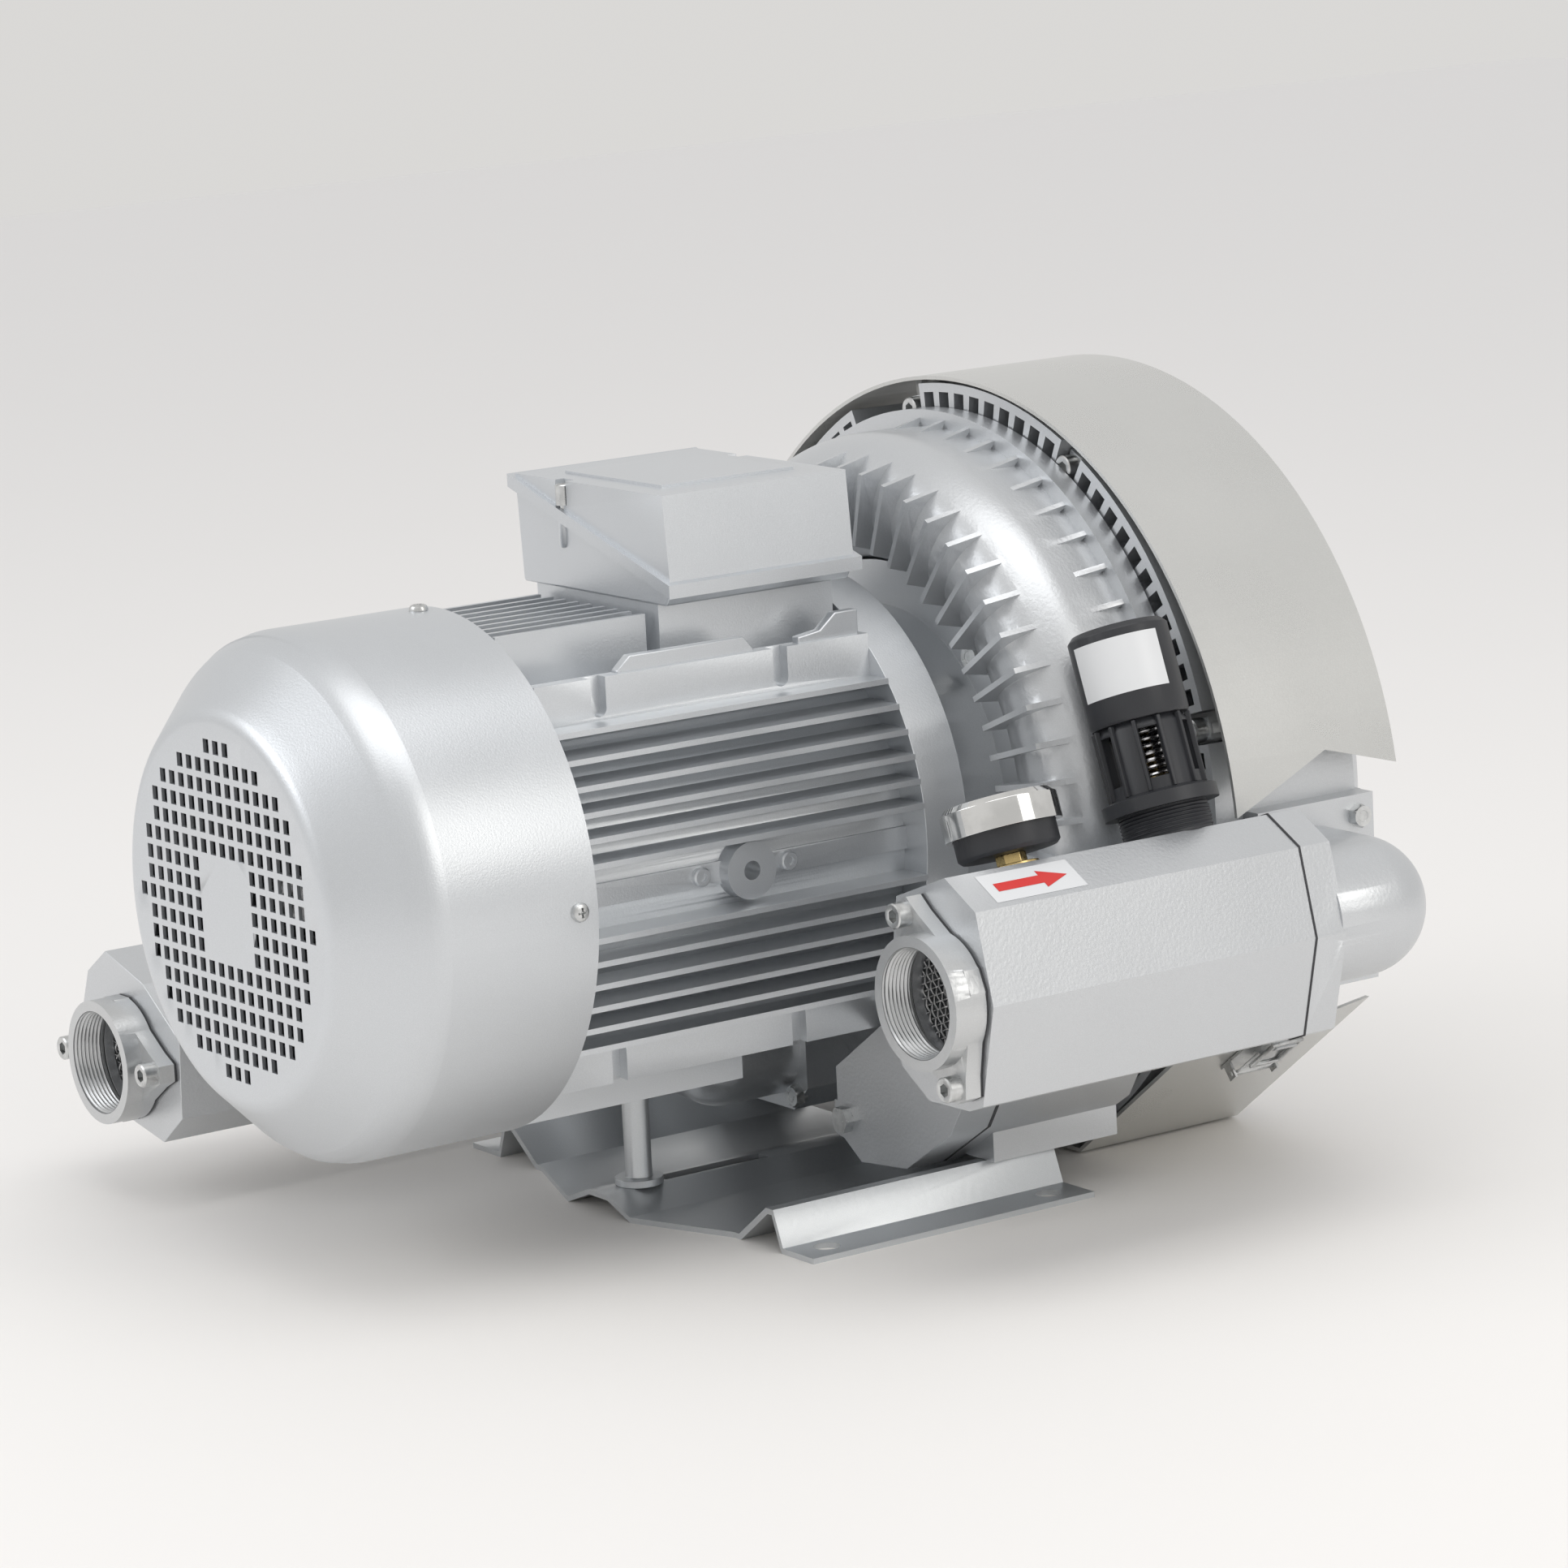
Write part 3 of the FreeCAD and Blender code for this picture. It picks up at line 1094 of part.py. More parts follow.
def terminal_lid_screws():
    """Screws on the lip, in the grooves in front of and behind the lid."""
    shapes = []
    foot = joint_height(s.lid_screw_x - s.lid_screw_groove) + s.lip_high
    for name, y in (("front", s.lid_front + s.lid_screw_inset), ("back", s.lid_back - s.lid_screw_inset)):
        shapes.append(cylinder(f"lid_screw_{name}", s.lid_screw_head, s.lid_screw_high, s.lid_screw_x, y,
                               foot, "Z"))
        shapes.append(cylinder(f"lid_screw_shank_{name}", s.lid_screw_shank, s.lip_high, s.lid_screw_x, y,
                               foot - s.lip_high + s.lip_out, "Z"))
    return fuse("terminal_lid_screws", shapes)


def terminal_block():
    """Block with the wires' studs on the terminal box's floor."""
    floor = s.box_floor + s.lid_wall
    middle = (s.lid_front + s.lid_back) / 2
    block = box("block_base", -s.block_half_x, middle - s.block_half_y, floor,
                s.block_half_x, middle + s.block_half_y, floor + s.block_high / 2)
    studs = []
    for column in (-1, 0, 1):
        for side in (-1, 1):
            studs.append(cylinder(f"stud_{column + 1}_{side + 1}", 3, s.block_high / 2,
                                  column * s.block_half_x * 0.65,
                                  middle + side * s.block_half_y / 2, floor + s.block_high / 2, "Z"))
    return fuse("terminal_block", [block] + studs)


# Casings

def flat_bottom(body, front, back):
    """Cuts the underside flat, so that the casing clears the ground and the lower shroud."""
    reach = s.cell_outer + 1
    add(body, "XZ", rectangle(-reach, -reach, reach, -s.casing_flat), front, back - front, cut=True)


def cooling_fin(body, points, first):
    """A radial fin: its outline is (along, radius) and it stands at an angle from the right upwards."""
    feature = add_turned(body, points, s.casing_fin_thick, s.fin_start + first * s.fin_angle)
    return feature


def add_turned(body, points, thick, angle):
    """A radial plate at an angle from the right upwards, from an outline (radius, along)."""
    sketch = sketch_on(body, "XY", 0, -sized(angle), Vector(0, 1, 0))
    outline(sketch, points)
    return slab(body, sketch, thick, middle=True)


def chamber_outline(inset):
    """Outline of the right chamber and its cover, drawn inwards by an inset."""
    top = s.chamber_round + inset
    start = (top * cosine(s.chamber_inner_angle) + inset, -top * sine(s.chamber_inner_angle) - inset / 3)
    end = (top * cosine(s.chamber_outer_angle), -top * sine(s.chamber_outer_angle))
    side_top = (s.chamber_side - inset, -s.chamber_side_top - inset)
    return [start, (start[0], -s.chamber_side_low + inset),
            (s.chamber_foot_inner + inset / 2, -s.chamber_foot_low + inset),
            (s.chamber_foot_outer - inset / 2, -s.chamber_foot_rise + inset),
            (s.chamber_knee - inset, -s.chamber_knee_low + inset / 2),
            (s.chamber_side - inset, -s.chamber_side_mid + inset / 3), side_top, end]


def left_flange_outline():
    """Square with cut corners round the left duct's end."""
    half = s.duct_flange_half
    low = half - s.duct_flange_chamfer
    x, z = s.duct_x, s.duct_z - s.shaft_height
    corners = [(low, -half), (half, -low), (half, low), (low, half), (-low, half), (-half, low),
               (-half, -low), (-low, -half)]
    return [(x + across, z + up) for across, up in corners]


def front_casing():
    """First stage: ring channel, hub plate, radial fins, two chambers below and two foot lugs."""
    body = new_body("front_casing")
    bend = s.channel_bend + s.casing_wall
    inner, outer = s.channel_radius - bend, s.channel_radius + bend
    plate_back = s.casing_front + s.hub_plate
    land_top = s.impeller_front + s.impeller_wide / 2 - s.impeller_disc / 2 - s.land_gap
    revolve(body, [(s.hub_bore, s.casing_front), (inner, s.casing_front), (inner, s.front_channel_y),
                   (s.channel_radius, s.front_channel_y - bend, bend), (outer, s.front_channel_y, bend),
                   (outer, s.middle_front - s.flange_thick),
                   (s.flange_outer, s.middle_front - s.flange_thick),
                   (s.flange_outer, s.middle_front), (s.channel_radius, s.middle_front),
                   (s.channel_radius, land_top), (s.land_inner, land_top), (s.land_inner, plate_back),
                   (s.hub_bore, plate_back)])
    fin = [(s.fin_root, s.fin_root_y), (s.fin_shoulder, s.fin_shoulder_y), (s.fin_brow, s.fin_brow_y),
           (s.fin_end, s.fin_end_y), (s.channel_radius, s.front_channel_y)]
    for first, count in CASING_FINS:
        feature = cooling_fin(body, fin, first)
        repeat(body, feature, count, -(count - 1) * s.fin_angle)
    add(body, "XZ", chamber_outline(0), s.chamber_front, s.chamber_back - s.chamber_front)
    left_front = s.duct_flange_y + s.duct_flange_thick
    add(body, "XZ", left_flange_outline(), left_front, s.chamber_back - left_front)
    for side in (1, -1):
        lug = rectangle(side * s.foot_lug_inner, s.ridge_top + s.air_gap - s.shaft_height,
                        side * s.foot_lug_outer, s.foot_lug_top - s.shaft_height)
        add(body, "XZ", lug, s.foot_lug_front, s.chamber_back - s.foot_lug_front)
        drill(body, "XY", [(side * s.foot_stud_x, (s.foot_lug_front + s.foot_lug_back) / 2,
                            s.hex_shank + s.screw_gap)], s.ridge_top - s.shaft_height, s.foot_stud_length)
    channel = [(s.channel_radius - s.channel_bend, s.middle_front + 1),
               (s.channel_radius - s.channel_bend, s.front_channel_y),
               (s.channel_radius, s.front_channel_y - s.channel_bend, s.channel_bend),
               (s.channel_radius + s.channel_bend, s.front_channel_y, s.channel_bend),
               (s.channel_radius + s.channel_bend, s.middle_front + 1)]
    revolve(body, channel, cut=True)
    edge = s.channel_radius - s.channel_bend + 1
    back = s.middle_front + 1
    revolve(body, [(s.hub_bore - 1, plate_back), (s.land_inner, plate_back), (s.land_inner, land_top),
                   (edge, land_top), (edge, back), (s.hub_bore - 1, back)], cut=True)
    way = rectangle(s.way_inner, -s.way_low, s.way_outer, -s.way_high)
    add(body, "XZ", way, s.chamber_front - 1, s.chamber_depth + 1, cut=True)
    drill(body, "XZ", [(s.duct_x, s.duct_z - s.shaft_height, s.duct_outer - s.duct_wall)],
          left_front - 1, s.chamber_depth)
    hub = [(s.flange_bolt_reach * cosine(angle), s.flange_bolt_reach * sine(angle),
            s.hex_shank + s.screw_gap)
           for angle in FLANGE_BOLTS]
    drill(body, "XZ", hub, s.casing_front - 1, s.hub_plate)
    drill(body, "XZ", [(s.duct_bolt_x, -s.duct_bolt_low, s.hex_shank + s.screw_gap)], s.chamber_front - 1,
          s.hex_length)
    flat_bottom(body, s.chamber_front - 1, s.middle_front + 1)
    return on_shaft(body)


def port_pad(body):
    """Adds the flat pad that the elbow stands on."""
    low, high = s.elbow_flange_low - s.shaft_height, s.elbow_flange_high - s.shaft_height
    pad = rectangle(s.elbow_face - s.pad_depth, low, s.elbow_face, high)
    add(body, "XZ", pad, s.elbow_flange_front, s.middle_back - s.elbow_flange_front)


def turned(radius, across, angle):
    """A point at a radius and a distance across it, turned about the shaft."""
    return (radius * cosine(angle) - across * sine(angle), radius * sine(angle) + across * cosine(angle))


def cell_ring(body, first, count, top):
    """Adds a ring sector with a row of open cells, drawn as one section along the shaft."""
    half = s.cell_pitch / 2 + s.cell_margin
    end = first + (count - 1) * s.cell_pitch
    start_angle, end_angle = sized(first) - half, end + half
    sketch = sketch_on(body, "XZ", s.cell_front)
    corners = [(s.cell_inner * cosine(start_angle), s.cell_inner * sine(start_angle)),
               (top * cosine(start_angle), top * sine(start_angle)),
               (top * cosine(end_angle), top * sine(end_angle), top),
               (s.cell_inner * cosine(end_angle), s.cell_inner * sine(end_angle))]
    corners[0] = corners[0] + (-s.cell_inner,)
    outline(sketch, corners)
    for index in range(count):
        angle = first + index * s.cell_pitch
        low, high, half_width = s.cell_slot_low, top - s.cell_wall, s.cell_width / 2
        outline(sketch, [turned(low, -half_width, angle), turned(high, -half_width, angle),
                         turned(high, half_width, angle), turned(low, half_width, angle)])
    slab(body, sketch, s.cell_back - s.cell_front)


def slope_point(along, out):
    """A point by its way up the lower shroud's slope and its distance outside it, seen from the shaft."""
    across, up = cosine(s.trough_slope), sine(s.trough_slope)
    return (s.trough_half + along * across + out * up,
            s.trough_low + along * up - out * across - s.shaft_height)


def keepers(body):
    """Adds the lugs that the latches' bails hook on."""
    corners = [slope_point(s.keeper_near, s.keeper_out), slope_point(s.keeper_far, s.keeper_out),
               slope_point(s.keeper_far, -s.keeper_in), slope_point(s.keeper_near, -s.keeper_in)]
    for side in (1, -1):
        add(body, "XZ", [(side * x, z) for x, z in corners], s.latch_y - s.keeper_half, 2 * s.keeper_half)


def middle_casing():
    """Back of the first channel, front of the second, and the cooling cells round both."""
    body = new_body("middle_casing")
    bend, radius, wall = s.channel_bend, s.channel_radius, s.casing_wall
    inner, outer = radius - bend, radius + bend
    revolve(body, [(s.hub_bore, s.web_front), (s.land_inner, s.web_front), (s.land_inner, s.middle_front),
                   (inner, s.middle_front), (radius, s.middle_front + bend, -bend),
                   (outer, s.middle_front, -bend), (s.flange_outer, s.middle_front),
                   (s.flange_outer, s.middle_front + s.flange_thick),
                   (outer + wall, s.middle_front + s.flange_thick),
                   (outer + wall, s.middle_back), (outer, s.middle_back), (outer, s.second_channel_y),
                   (radius, s.second_channel_y - bend, -bend), (inner, s.second_channel_y, -bend),
                   (s.land_inner, s.second_channel_y), (s.land_inner, s.web_back), (s.hub_bore, s.web_back)])
    for first, count, low in CELL_RINGS:
        cell_ring(body, first, count, s.cell_outer_low if low else s.cell_outer)
    for angle in LUG_ANGLES:
        lug = rectangle(s.cell_inner, -s.lug_half, s.lug_outer, s.lug_half)
        add(body, "XZ", lug, s.lug_front, s.middle_back - s.lug_front, turn=angle)
        sketch = sketch_on(body, "XZ", s.lug_front - 1, angle)
        round_hole(sketch, s.lug_screw, 0, s.casing_screw_shank + s.screw_gap)
        slab(body, sketch, s.casing_screw_length + 2, cut=True)
    keepers(body)
    port_pad(body)
    revolve(body, [(inner, s.middle_front - 1), (outer, s.middle_front - 1), (outer, s.middle_front),
                   (radius, s.middle_front + bend, bend), (inner, s.middle_front, bend)], cut=True)
    revolve(body, [(inner, s.second_channel_y), (radius, s.second_channel_y - bend, bend),
                   (outer, s.second_channel_y, bend), (outer, s.middle_back + 1),
                   (inner, s.middle_back + 1)],
            cut=True)
    sketch = sketch_on(body, "YZ", radius)
    round_hole(sketch, s.elbow_y, s.elbow_z - s.shaft_height, s.elbow_inner)
    slab(body, sketch, s.elbow_face - radius + 1, cut=True)
    flat_bottom(body, s.middle_front - 1, s.middle_back + 1)
    return on_shaft(body)


def rear_casing():
    """Back of the second channel with radial fins and the far bearing's hub."""
    body = new_body("rear_casing")
    bend, radius = s.channel_bend + s.casing_wall, s.channel_radius
    inner = radius - bend
    back = s.rear_channel_y
    plate_in = s.rear_plate_front - s.far_bearing_lip
    flange_back = s.middle_back + s.flange_thick
    foot = root(bend * bend - (flange_back - back) * (flange_back - back))
    brow = root(bend * bend - (s.rear_plate_back - back) * (s.rear_plate_back - back))
    revolve(body, [(s.far_bore, plate_in), (inner, plate_in), (inner, s.middle_back),
                   (s.flange_outer, s.middle_back), (s.flange_outer, flange_back),
                   (radius + foot, flange_back),
                   (radius, back + bend, bend), (radius - brow, s.rear_plate_back, bend),
                   (s.far_hub, s.rear_plate_back),
                   (s.far_hub, s.far_hub_back), (s.far_bearing_outer, s.far_hub_back),
                   (s.far_bearing_outer, s.far_bearing_front), (s.far_bore, s.far_bearing_front)])
    fin = [(s.fin_root, s.rear_plate_back - 2), (s.fin_shoulder, s.rear_fin_shoulder_y),
           (s.rear_fin_brow, s.rear_fin_brow_y), (s.flange_outer, s.rear_fin_front),
           (s.flange_outer - 8, s.middle_back + s.flange_thick - 1), (s.channel_radius, s.rear_plate_back)]
    for first, count in REAR_FINS:
        feature = cooling_fin(body, fin, first)
        repeat(body, feature, count, -(count - 1) * s.fin_angle)
    flat_bottom(body, s.middle_back - 1, s.rear_fin_shoulder_y + 1)
    bend = s.channel_bend
    channel = [(radius - bend, s.middle_back - 1), (radius + bend, s.middle_back - 1), (radius + bend, back),
               (radius, back + bend, bend), (radius - bend, back, bend)]
    revolve(body, channel, cut=True)
    return on_shaft(body)


def casing_screws():
    """Socket screws in the gaps between the cooling cells."""
    places = [(s.lug_screw * cosine(angle), s.lug_front, s.shaft_height + s.lug_screw * sine(angle))
              for angle in LUG_ANGLES]
    head = (s.casing_screw_head, s.casing_screw_height, s.casing_screw_shank, s.casing_screw_length)
    return fasteners("casing_screws", places, head, "Y")


def bearing_cover():
    """Round cover over the far bearing."""
    body = new_body("bearing_cover")
    front, back = s.far_hub_back, s.far_hub_back + s.cap_thick
    revolve(body, [(0, front), (s.far_hub, front), (s.far_hub, back - 2), (s.far_hub - 2, back), (0, back)])
    return on_shaft(body)


def impeller(name, shift, way):
    """Disc with vanes on both sides and a hub to the back (way 1) or to the front (way -1)."""
    body = new_body(name)
    bore = s.shaft_impeller + s.bearing_gap
    front = s.impeller_front + shift
    middle = front + s.impeller_wide / 2
    half = s.impeller_disc / 2
    near, far, hub_end = middle - way * half, middle + way * half, middle + way * s.impeller_hub_wide
    revolve(body, [(bore, near), (s.impeller_outer, near), (s.impeller_outer, far), (s.impeller_hub, far),
                   (s.impeller_hub, hub_end), (bore, hub_end)])
    vane = rectangle(s.impeller_inner, front, s.impeller_outer, front + s.impeller_wide)
    feature = add_turned(body, vane, s.vane_thick, 0)
    repeat(body, feature, VANES, 360)
    return on_shaft(body)


# Duct cover

def duct_cover():
    """Shallow cast cover in front of the right chamber."""
    body = new_body("duct_cover")
    front = s.chamber_front - s.cover_gasket - s.duct_cover_thick
    add(body, "XZ", chamber_outline(0), front, s.duct_cover_thick)
    wall = s.duct_cover_wall
    add(body, "XZ", chamber_outline(s.chamber_wall), front + wall, s.duct_cover_thick, cut=True)
    boss = [(s.duct_bolt_x - 11, -s.duct_bolt_low - 10), (s.duct_bolt_x + 10, -s.duct_bolt_low - 14),
            (s.duct_bolt_x + 10, -s.duct_bolt_low + 9), (s.duct_bolt_x - 11, -s.duct_bolt_low + 9)]
    add(body, "XZ", boss, front, s.duct_cover_thick)
    drill(body, "XZ", [(s.duct_bolt_x, -s.duct_bolt_low, s.hex_shank + s.screw_gap)], front - 1,
          s.duct_cover_thick + 2)
    return on_shaft(body)


def duct_cover_gasket():
    """Thin gasket between the cover and the chamber."""
    body = new_body("duct_cover_gasket")
    front = s.chamber_front - s.cover_gasket
    add(body, "XZ", chamber_outline(0), front, s.cover_gasket)
    add(body, "XZ", chamber_outline(s.chamber_wall), front - 1, s.cover_gasket + 2, cut=True)
    drill(body, "XZ", [(s.duct_bolt_x, -s.duct_bolt_low, s.hex_shank + s.screw_gap)], front - 1,
          s.cover_gasket + 2)
    return on_shaft(body)


# Silencers

def silencer_outline():
    """Section of a silencer about its port: sloped shoulders above, a keel below."""
    return [(s.silencer_top_half, s.silencer_top), (-s.silencer_top_half, s.silencer_top),
            (-s.silencer_cheek, s.silencer_cheek_high), (-s.silencer_back, -s.silencer_back_low),
            (-s.silencer_base_left, -s.silencer_heel), (-s.silencer_base_right, -s.silencer_base),
            (s.silencer_base_right, -s.silencer_base), (s.silencer_side, -s.silencer_side_low),
            (s.silencer_shoulder, s.silencer_shoulder_high)]


SIDES = {"right": (s.right_port_x, s.right_port_y, s.right_port_z, -s.right_lean),
         "left": (s.left_port_x, s.left_port_y, s.left_port_z, s.left_turn)}


def at_port(thing, side):
    """Puts a piece made about a port at that port."""
    x, y, z, turn = SIDES[side]
    return place(thing, x, y, z, turn)


def silencer(side):
    """Cast body with a round bore behind the port."""
    body = new_body(f"{side}_silencer")
    add(body, "XZ", silencer_outline(), s.silencer_front, s.silencer_length)
    start = s.silencer_front + s.silencer_wall
    drill(body, "XZ", [(0, 0, s.silencer_bore)], start, s.silencer_length)
    drill(body, "XZ", [(0, 0, s.port_clear)], s.silencer_front - 1, s.silencer_wall + 2)
    holes = [(x, z, s.port_screw_shank + s.screw_gap) for x, z in port_screw_points()]
    drill(body, "XZ", holes, s.silencer_front - 1, s.port_screw_length + 1)
    if side == "right":
        valve = s.valve_y - s.right_port_y
        gauge = s.gauge_y - s.right_port_y
        drill(body, "XY", [(0, valve, s.valve_bore)], 0, s.silencer_top + 1)
        drill(body, "XY", [(0, gauge, s.gauge_hex / 2 + s.screw_gap)], 0, s.silencer_top + 1)
    return at_port(body, side)


def port_screw_points():
    """Places of the two port screws across the port."""
    across = s.port_screw_reach * cosine(s.port_screw_angle)
    up = s.port_screw_reach * sine(s.port_screw_angle)
    return [(across, up), (-across, -up)]


def port_flange(side):
    """Threaded ring on an oval flange."""
    body = new_body(f"{side}_port_flange")
    back = s.silencer_front - s.port_gasket
    sketch = sketch_on(body, "XZ", 0)
    round_hole(sketch, 0, 0, s.port_ring)
    slab(body, sketch, back)
    plate = oval_points(s.port_ring)
    add(body, "XZ", plate, back - s.port_plate, s.port_plate, turn=s.port_screw_angle)
    drill(body, "XZ", [(0, 0, s.port_minor)], -1, s.silencer_front + 1)
    holes = [(x, z, s.port_screw_shank + s.screw_gap) for x, z in port_screw_points()]
    drill(body, "XZ", holes, -1, s.silencer_front + 1)
    return at_port(body, side)


def oval_points(width):
    """Plate that narrows from a ring to its two ends."""
    reach = s.port_screw_reach + s.port_ear * 0.8
    return [(reach, -s.port_ear / 2), (reach, s.port_ear / 2), (s.port_screw_reach - 2, s.port_ear),
            (6, width), (-6, width), (-s.port_screw_reach + 2, s.port_ear), (-reach, s.port_ear / 2),
            (-reach, -s.port_ear / 2), (-s.port_screw_reach + 2, -s.port_ear), (-6, -width), (6, -width),
            (s.port_screw_reach - 2, -s.port_ear)]


def port_gasket(side):
    """Gasket behind a port's flange."""
    body = new_body(f"{side}_port_gasket")
    front = s.silencer_front - s.port_gasket
    add(body, "XZ", oval_points(s.port_ring), front, s.port_gasket, turn=s.port_screw_angle)
    drill(body, "XZ", [(0, 0, s.port_clear)], front - 1, s.port_gasket + 2)
    holes = [(x, z, s.port_screw_shank + s.screw_gap) for x, z in port_screw_points()]
    drill(body, "XZ", holes, front - 1, s.port_gasket + 2)
    return at_port(body, side)


def port_mesh(side):
    """Disc of wire mesh inside a silencer, behind its port."""
    body = new_body(f"{side}_mesh")
    start = s.silencer_front + s.silencer_wall
    revolve(body, [(0, start), (s.silencer_bore - s.air_gap, start),
                   (s.silencer_bore - s.air_gap, start + s.mesh_thick),
                   (0, start + s.mesh_thick)])
    return at_port(body, side)


def port_screws():
    """Socket screws of both port flanges."""
    shapes = []
    foot = s.silencer_front - s.port_gasket - s.port_plate
    for side in SIDES:
        for index, (x, z) in enumerate(port_screw_points()):
            body = new_body(f"{side}_port_screw_{index}")
            sketch = sketch_on(body, "XZ", foot)
            round_hole(sketch, x, z, s.port_screw_shank)
            slab(body, sketch, s.port_screw_length)
            sketch = sketch_on(body, "XZ", foot - s.port_screw_height)
            round_hole(sketch, x, z, s.port_screw_head)
            slab(body, sketch, s.port_screw_height)
            shapes.append(at_port(body, side))
    return fuse("port_screws", shapes)


def silencer_plate(name, side, thick):
    """Plate with a silencer's outline on its back end."""
    body = new_body(name)
    add(body, "XZ", silencer_outline(), s.silencer_front + s.silencer_length, thick)
    return at_port(body, side)


def right_elbow():
    """Elbow from the right silencer to the second channel, with a domed corner."""
    back = s.right_port_y + s.silencer_front + s.silencer_length
    plate = silencer_plate("elbow_plate_blank", "right", s.elbow_plate)
    x, y, z = s.right_port_x, s.elbow_y, s.elbow_z
    stub = cylinder("elbow_stub", s.elbow_outer, y - back - s.elbow_plate + 2, x, back + s.elbow_plate - 2,
                    z)
    corner = ball("elbow_corner", s.elbow_outer, x, y, z)
    arm = cylinder("elbow_arm", s.elbow_outer, x - s.elbow_face, s.elbow_face, y, z, "X")
    flange = box("elbow_flange_block", s.elbow_face, s.elbow_flange_front, s.elbow_flange_low,
                 s.elbow_face + s.elbow_flange, s.elbow_flange_back, s.elbow_flange_high)
    blank = fuse("elbow_blank", [plate, stub, corner, arm, flange])
    bore = fuse("elbow_bore", [cylinder("elbow_bore_y", s.elbow_inner, y - back + 1, x, back - 1, z),
                               ball("elbow_bore_corner", s.elbow_inner, x, y, z),
                               cylinder("elbow_bore_x", s.elbow_inner, x - s.elbow_face + 1,
                                        s.elbow_face - 1, y, z, "X")])
    return subtract("right_elbow", blank, bore)


def run_between(name, radius, start, end):
    """A cylinder between two points in one upright plane across the shaft."""
    item = doc.addObject("Part::Cylinder", name)
    across, up = end[0] - start[0], end[2] - start[2]
    bind(item, "Radius", radius)
    bind(item, "Height", root(across * across + up * up))
    turn = Size(math.degrees(math.atan2(float(across), float(up))), f"atan2({across.formula}; {up.formula})")
    return place(item, *start, turn)


def left_duct():
    """Duct from the left silencer under the motor to the first channel."""
    back = s.left_port_y + s.silencer_front + s.silencer_length
    plate = silencer_plate("duct_plate_blank", "left", s.duct_plate)
    first = (s.left_port_x, s.duct_y, s.left_port_z)
    last = (s.duct_x, s.duct_y, s.duct_z)
    shapes = [plate]
    bores = []
    end = s.duct_flange_y + s.duct_flange_thick
    for group, wall in ((shapes, 0), (bores, s.duct_wall)):
        tag = "skin" if group is shapes else "bore"
        extra = 0 if group is shapes else 1
        far, near = s.duct_outer_far - wall, s.duct_outer - wall
        start = back + s.duct_plate - 2 if group is shapes else back - 1
        group.append(cylinder(f"duct_{tag}_stub", far, s.duct_y - start, first[0], start, first[2]))
        group.append(ball(f"duct_{tag}_corner", far, *first))
        group.append(run_between(f"duct_{tag}_run", near, first, last))
        group.append(ball(f"duct_{tag}_end", near, *last))
        group.append(cylinder(f"duct_{tag}_out", near, end - s.duct_y + extra, *last))
    flange = new_body("duct_flange_blank")
    add(flange, "XZ", left_flange_outline(), s.duct_flange_y, s.duct_flange_thick)
    shapes.append(on_shaft(flange))
    return subtract("left_duct", fuse("duct_blank", shapes), fuse("duct_bores", bores))


def joint_bolts():
    """Hexagon bolt that holds the duct cover, its shank in the chamber's wall."""
    front = s.chamber_front - s.cover_gasket - s.duct_cover_thick
    head = (s.hex_head, s.hex_height, s.hex_shank, s.duct_cover_thick + s.cover_gasket + s.hex_length - 2)
    return fasteners("joint_bolts", [(s.duct_bolt_x, front, s.shaft_height - s.duct_bolt_low)], head, "Y", 6)


# Shrouds

def upper_shroud():
    """Half-round sheet over the casing, with cut ends and four brackets on the casing's lugs."""
    body = new_body("upper_shroud")
    outer, inner = s.shroud_radius, s.shroud_radius - s.shroud_sheet
    arch = [(outer, 0), (0, outer, outer), (-outer, 0, outer), (-inner, 0), (0, inner, -inner),
            (inner, 0, -inner)]
    add(body, "XZ", arch, s.shroud_front, s.shroud_back - s.shroud_front)
    low = [(s.shroud_front - 1, -1), (s.shroud_back + 1, -1), (s.shroud_back + 1, s.shroud_tip),
           (s.shroud_back, s.shroud_tip), (s.shroud_notch_y, s.shroud_notch),
           (s.shroud_front, s.shroud_corner),
           (s.shroud_front - 1, s.shroud_corner)]
    add(body, "YZ", low, 0, 2 * outer + 10, middle=True, cut=True)
    sheet_middle = outer - s.shroud_sheet / 2
    for angle in LUG_ANGLES[:4]:
        aside = s.shroud_drop * cosine(angle)
        reach = root(sheet_middle * sheet_middle - aside * aside) - s.shroud_drop * sine(angle)
        foot = s.lug_outer + s.air_gap
        corners = [turned(foot, -s.bracket_half, angle), turned(reach, -s.bracket_half, angle),
                   turned(reach, s.bracket_half, angle), turned(foot, s.bracket_half, angle)]
        bracket = [(x, z + s.shroud_drop) for x, z in corners]
        add(body, "XZ", bracket, s.bracket_front, s.bracket_length)
    return place(body, z=s.shaft_height - s.shroud_drop)


def trough_corner():
    """Height of the lower shroud's back corners above the ground."""
    run = s.trough_out - s.trough_half
    return s.trough_low + run * sine(s.trough_slope) / cosine(s.trough_slope)


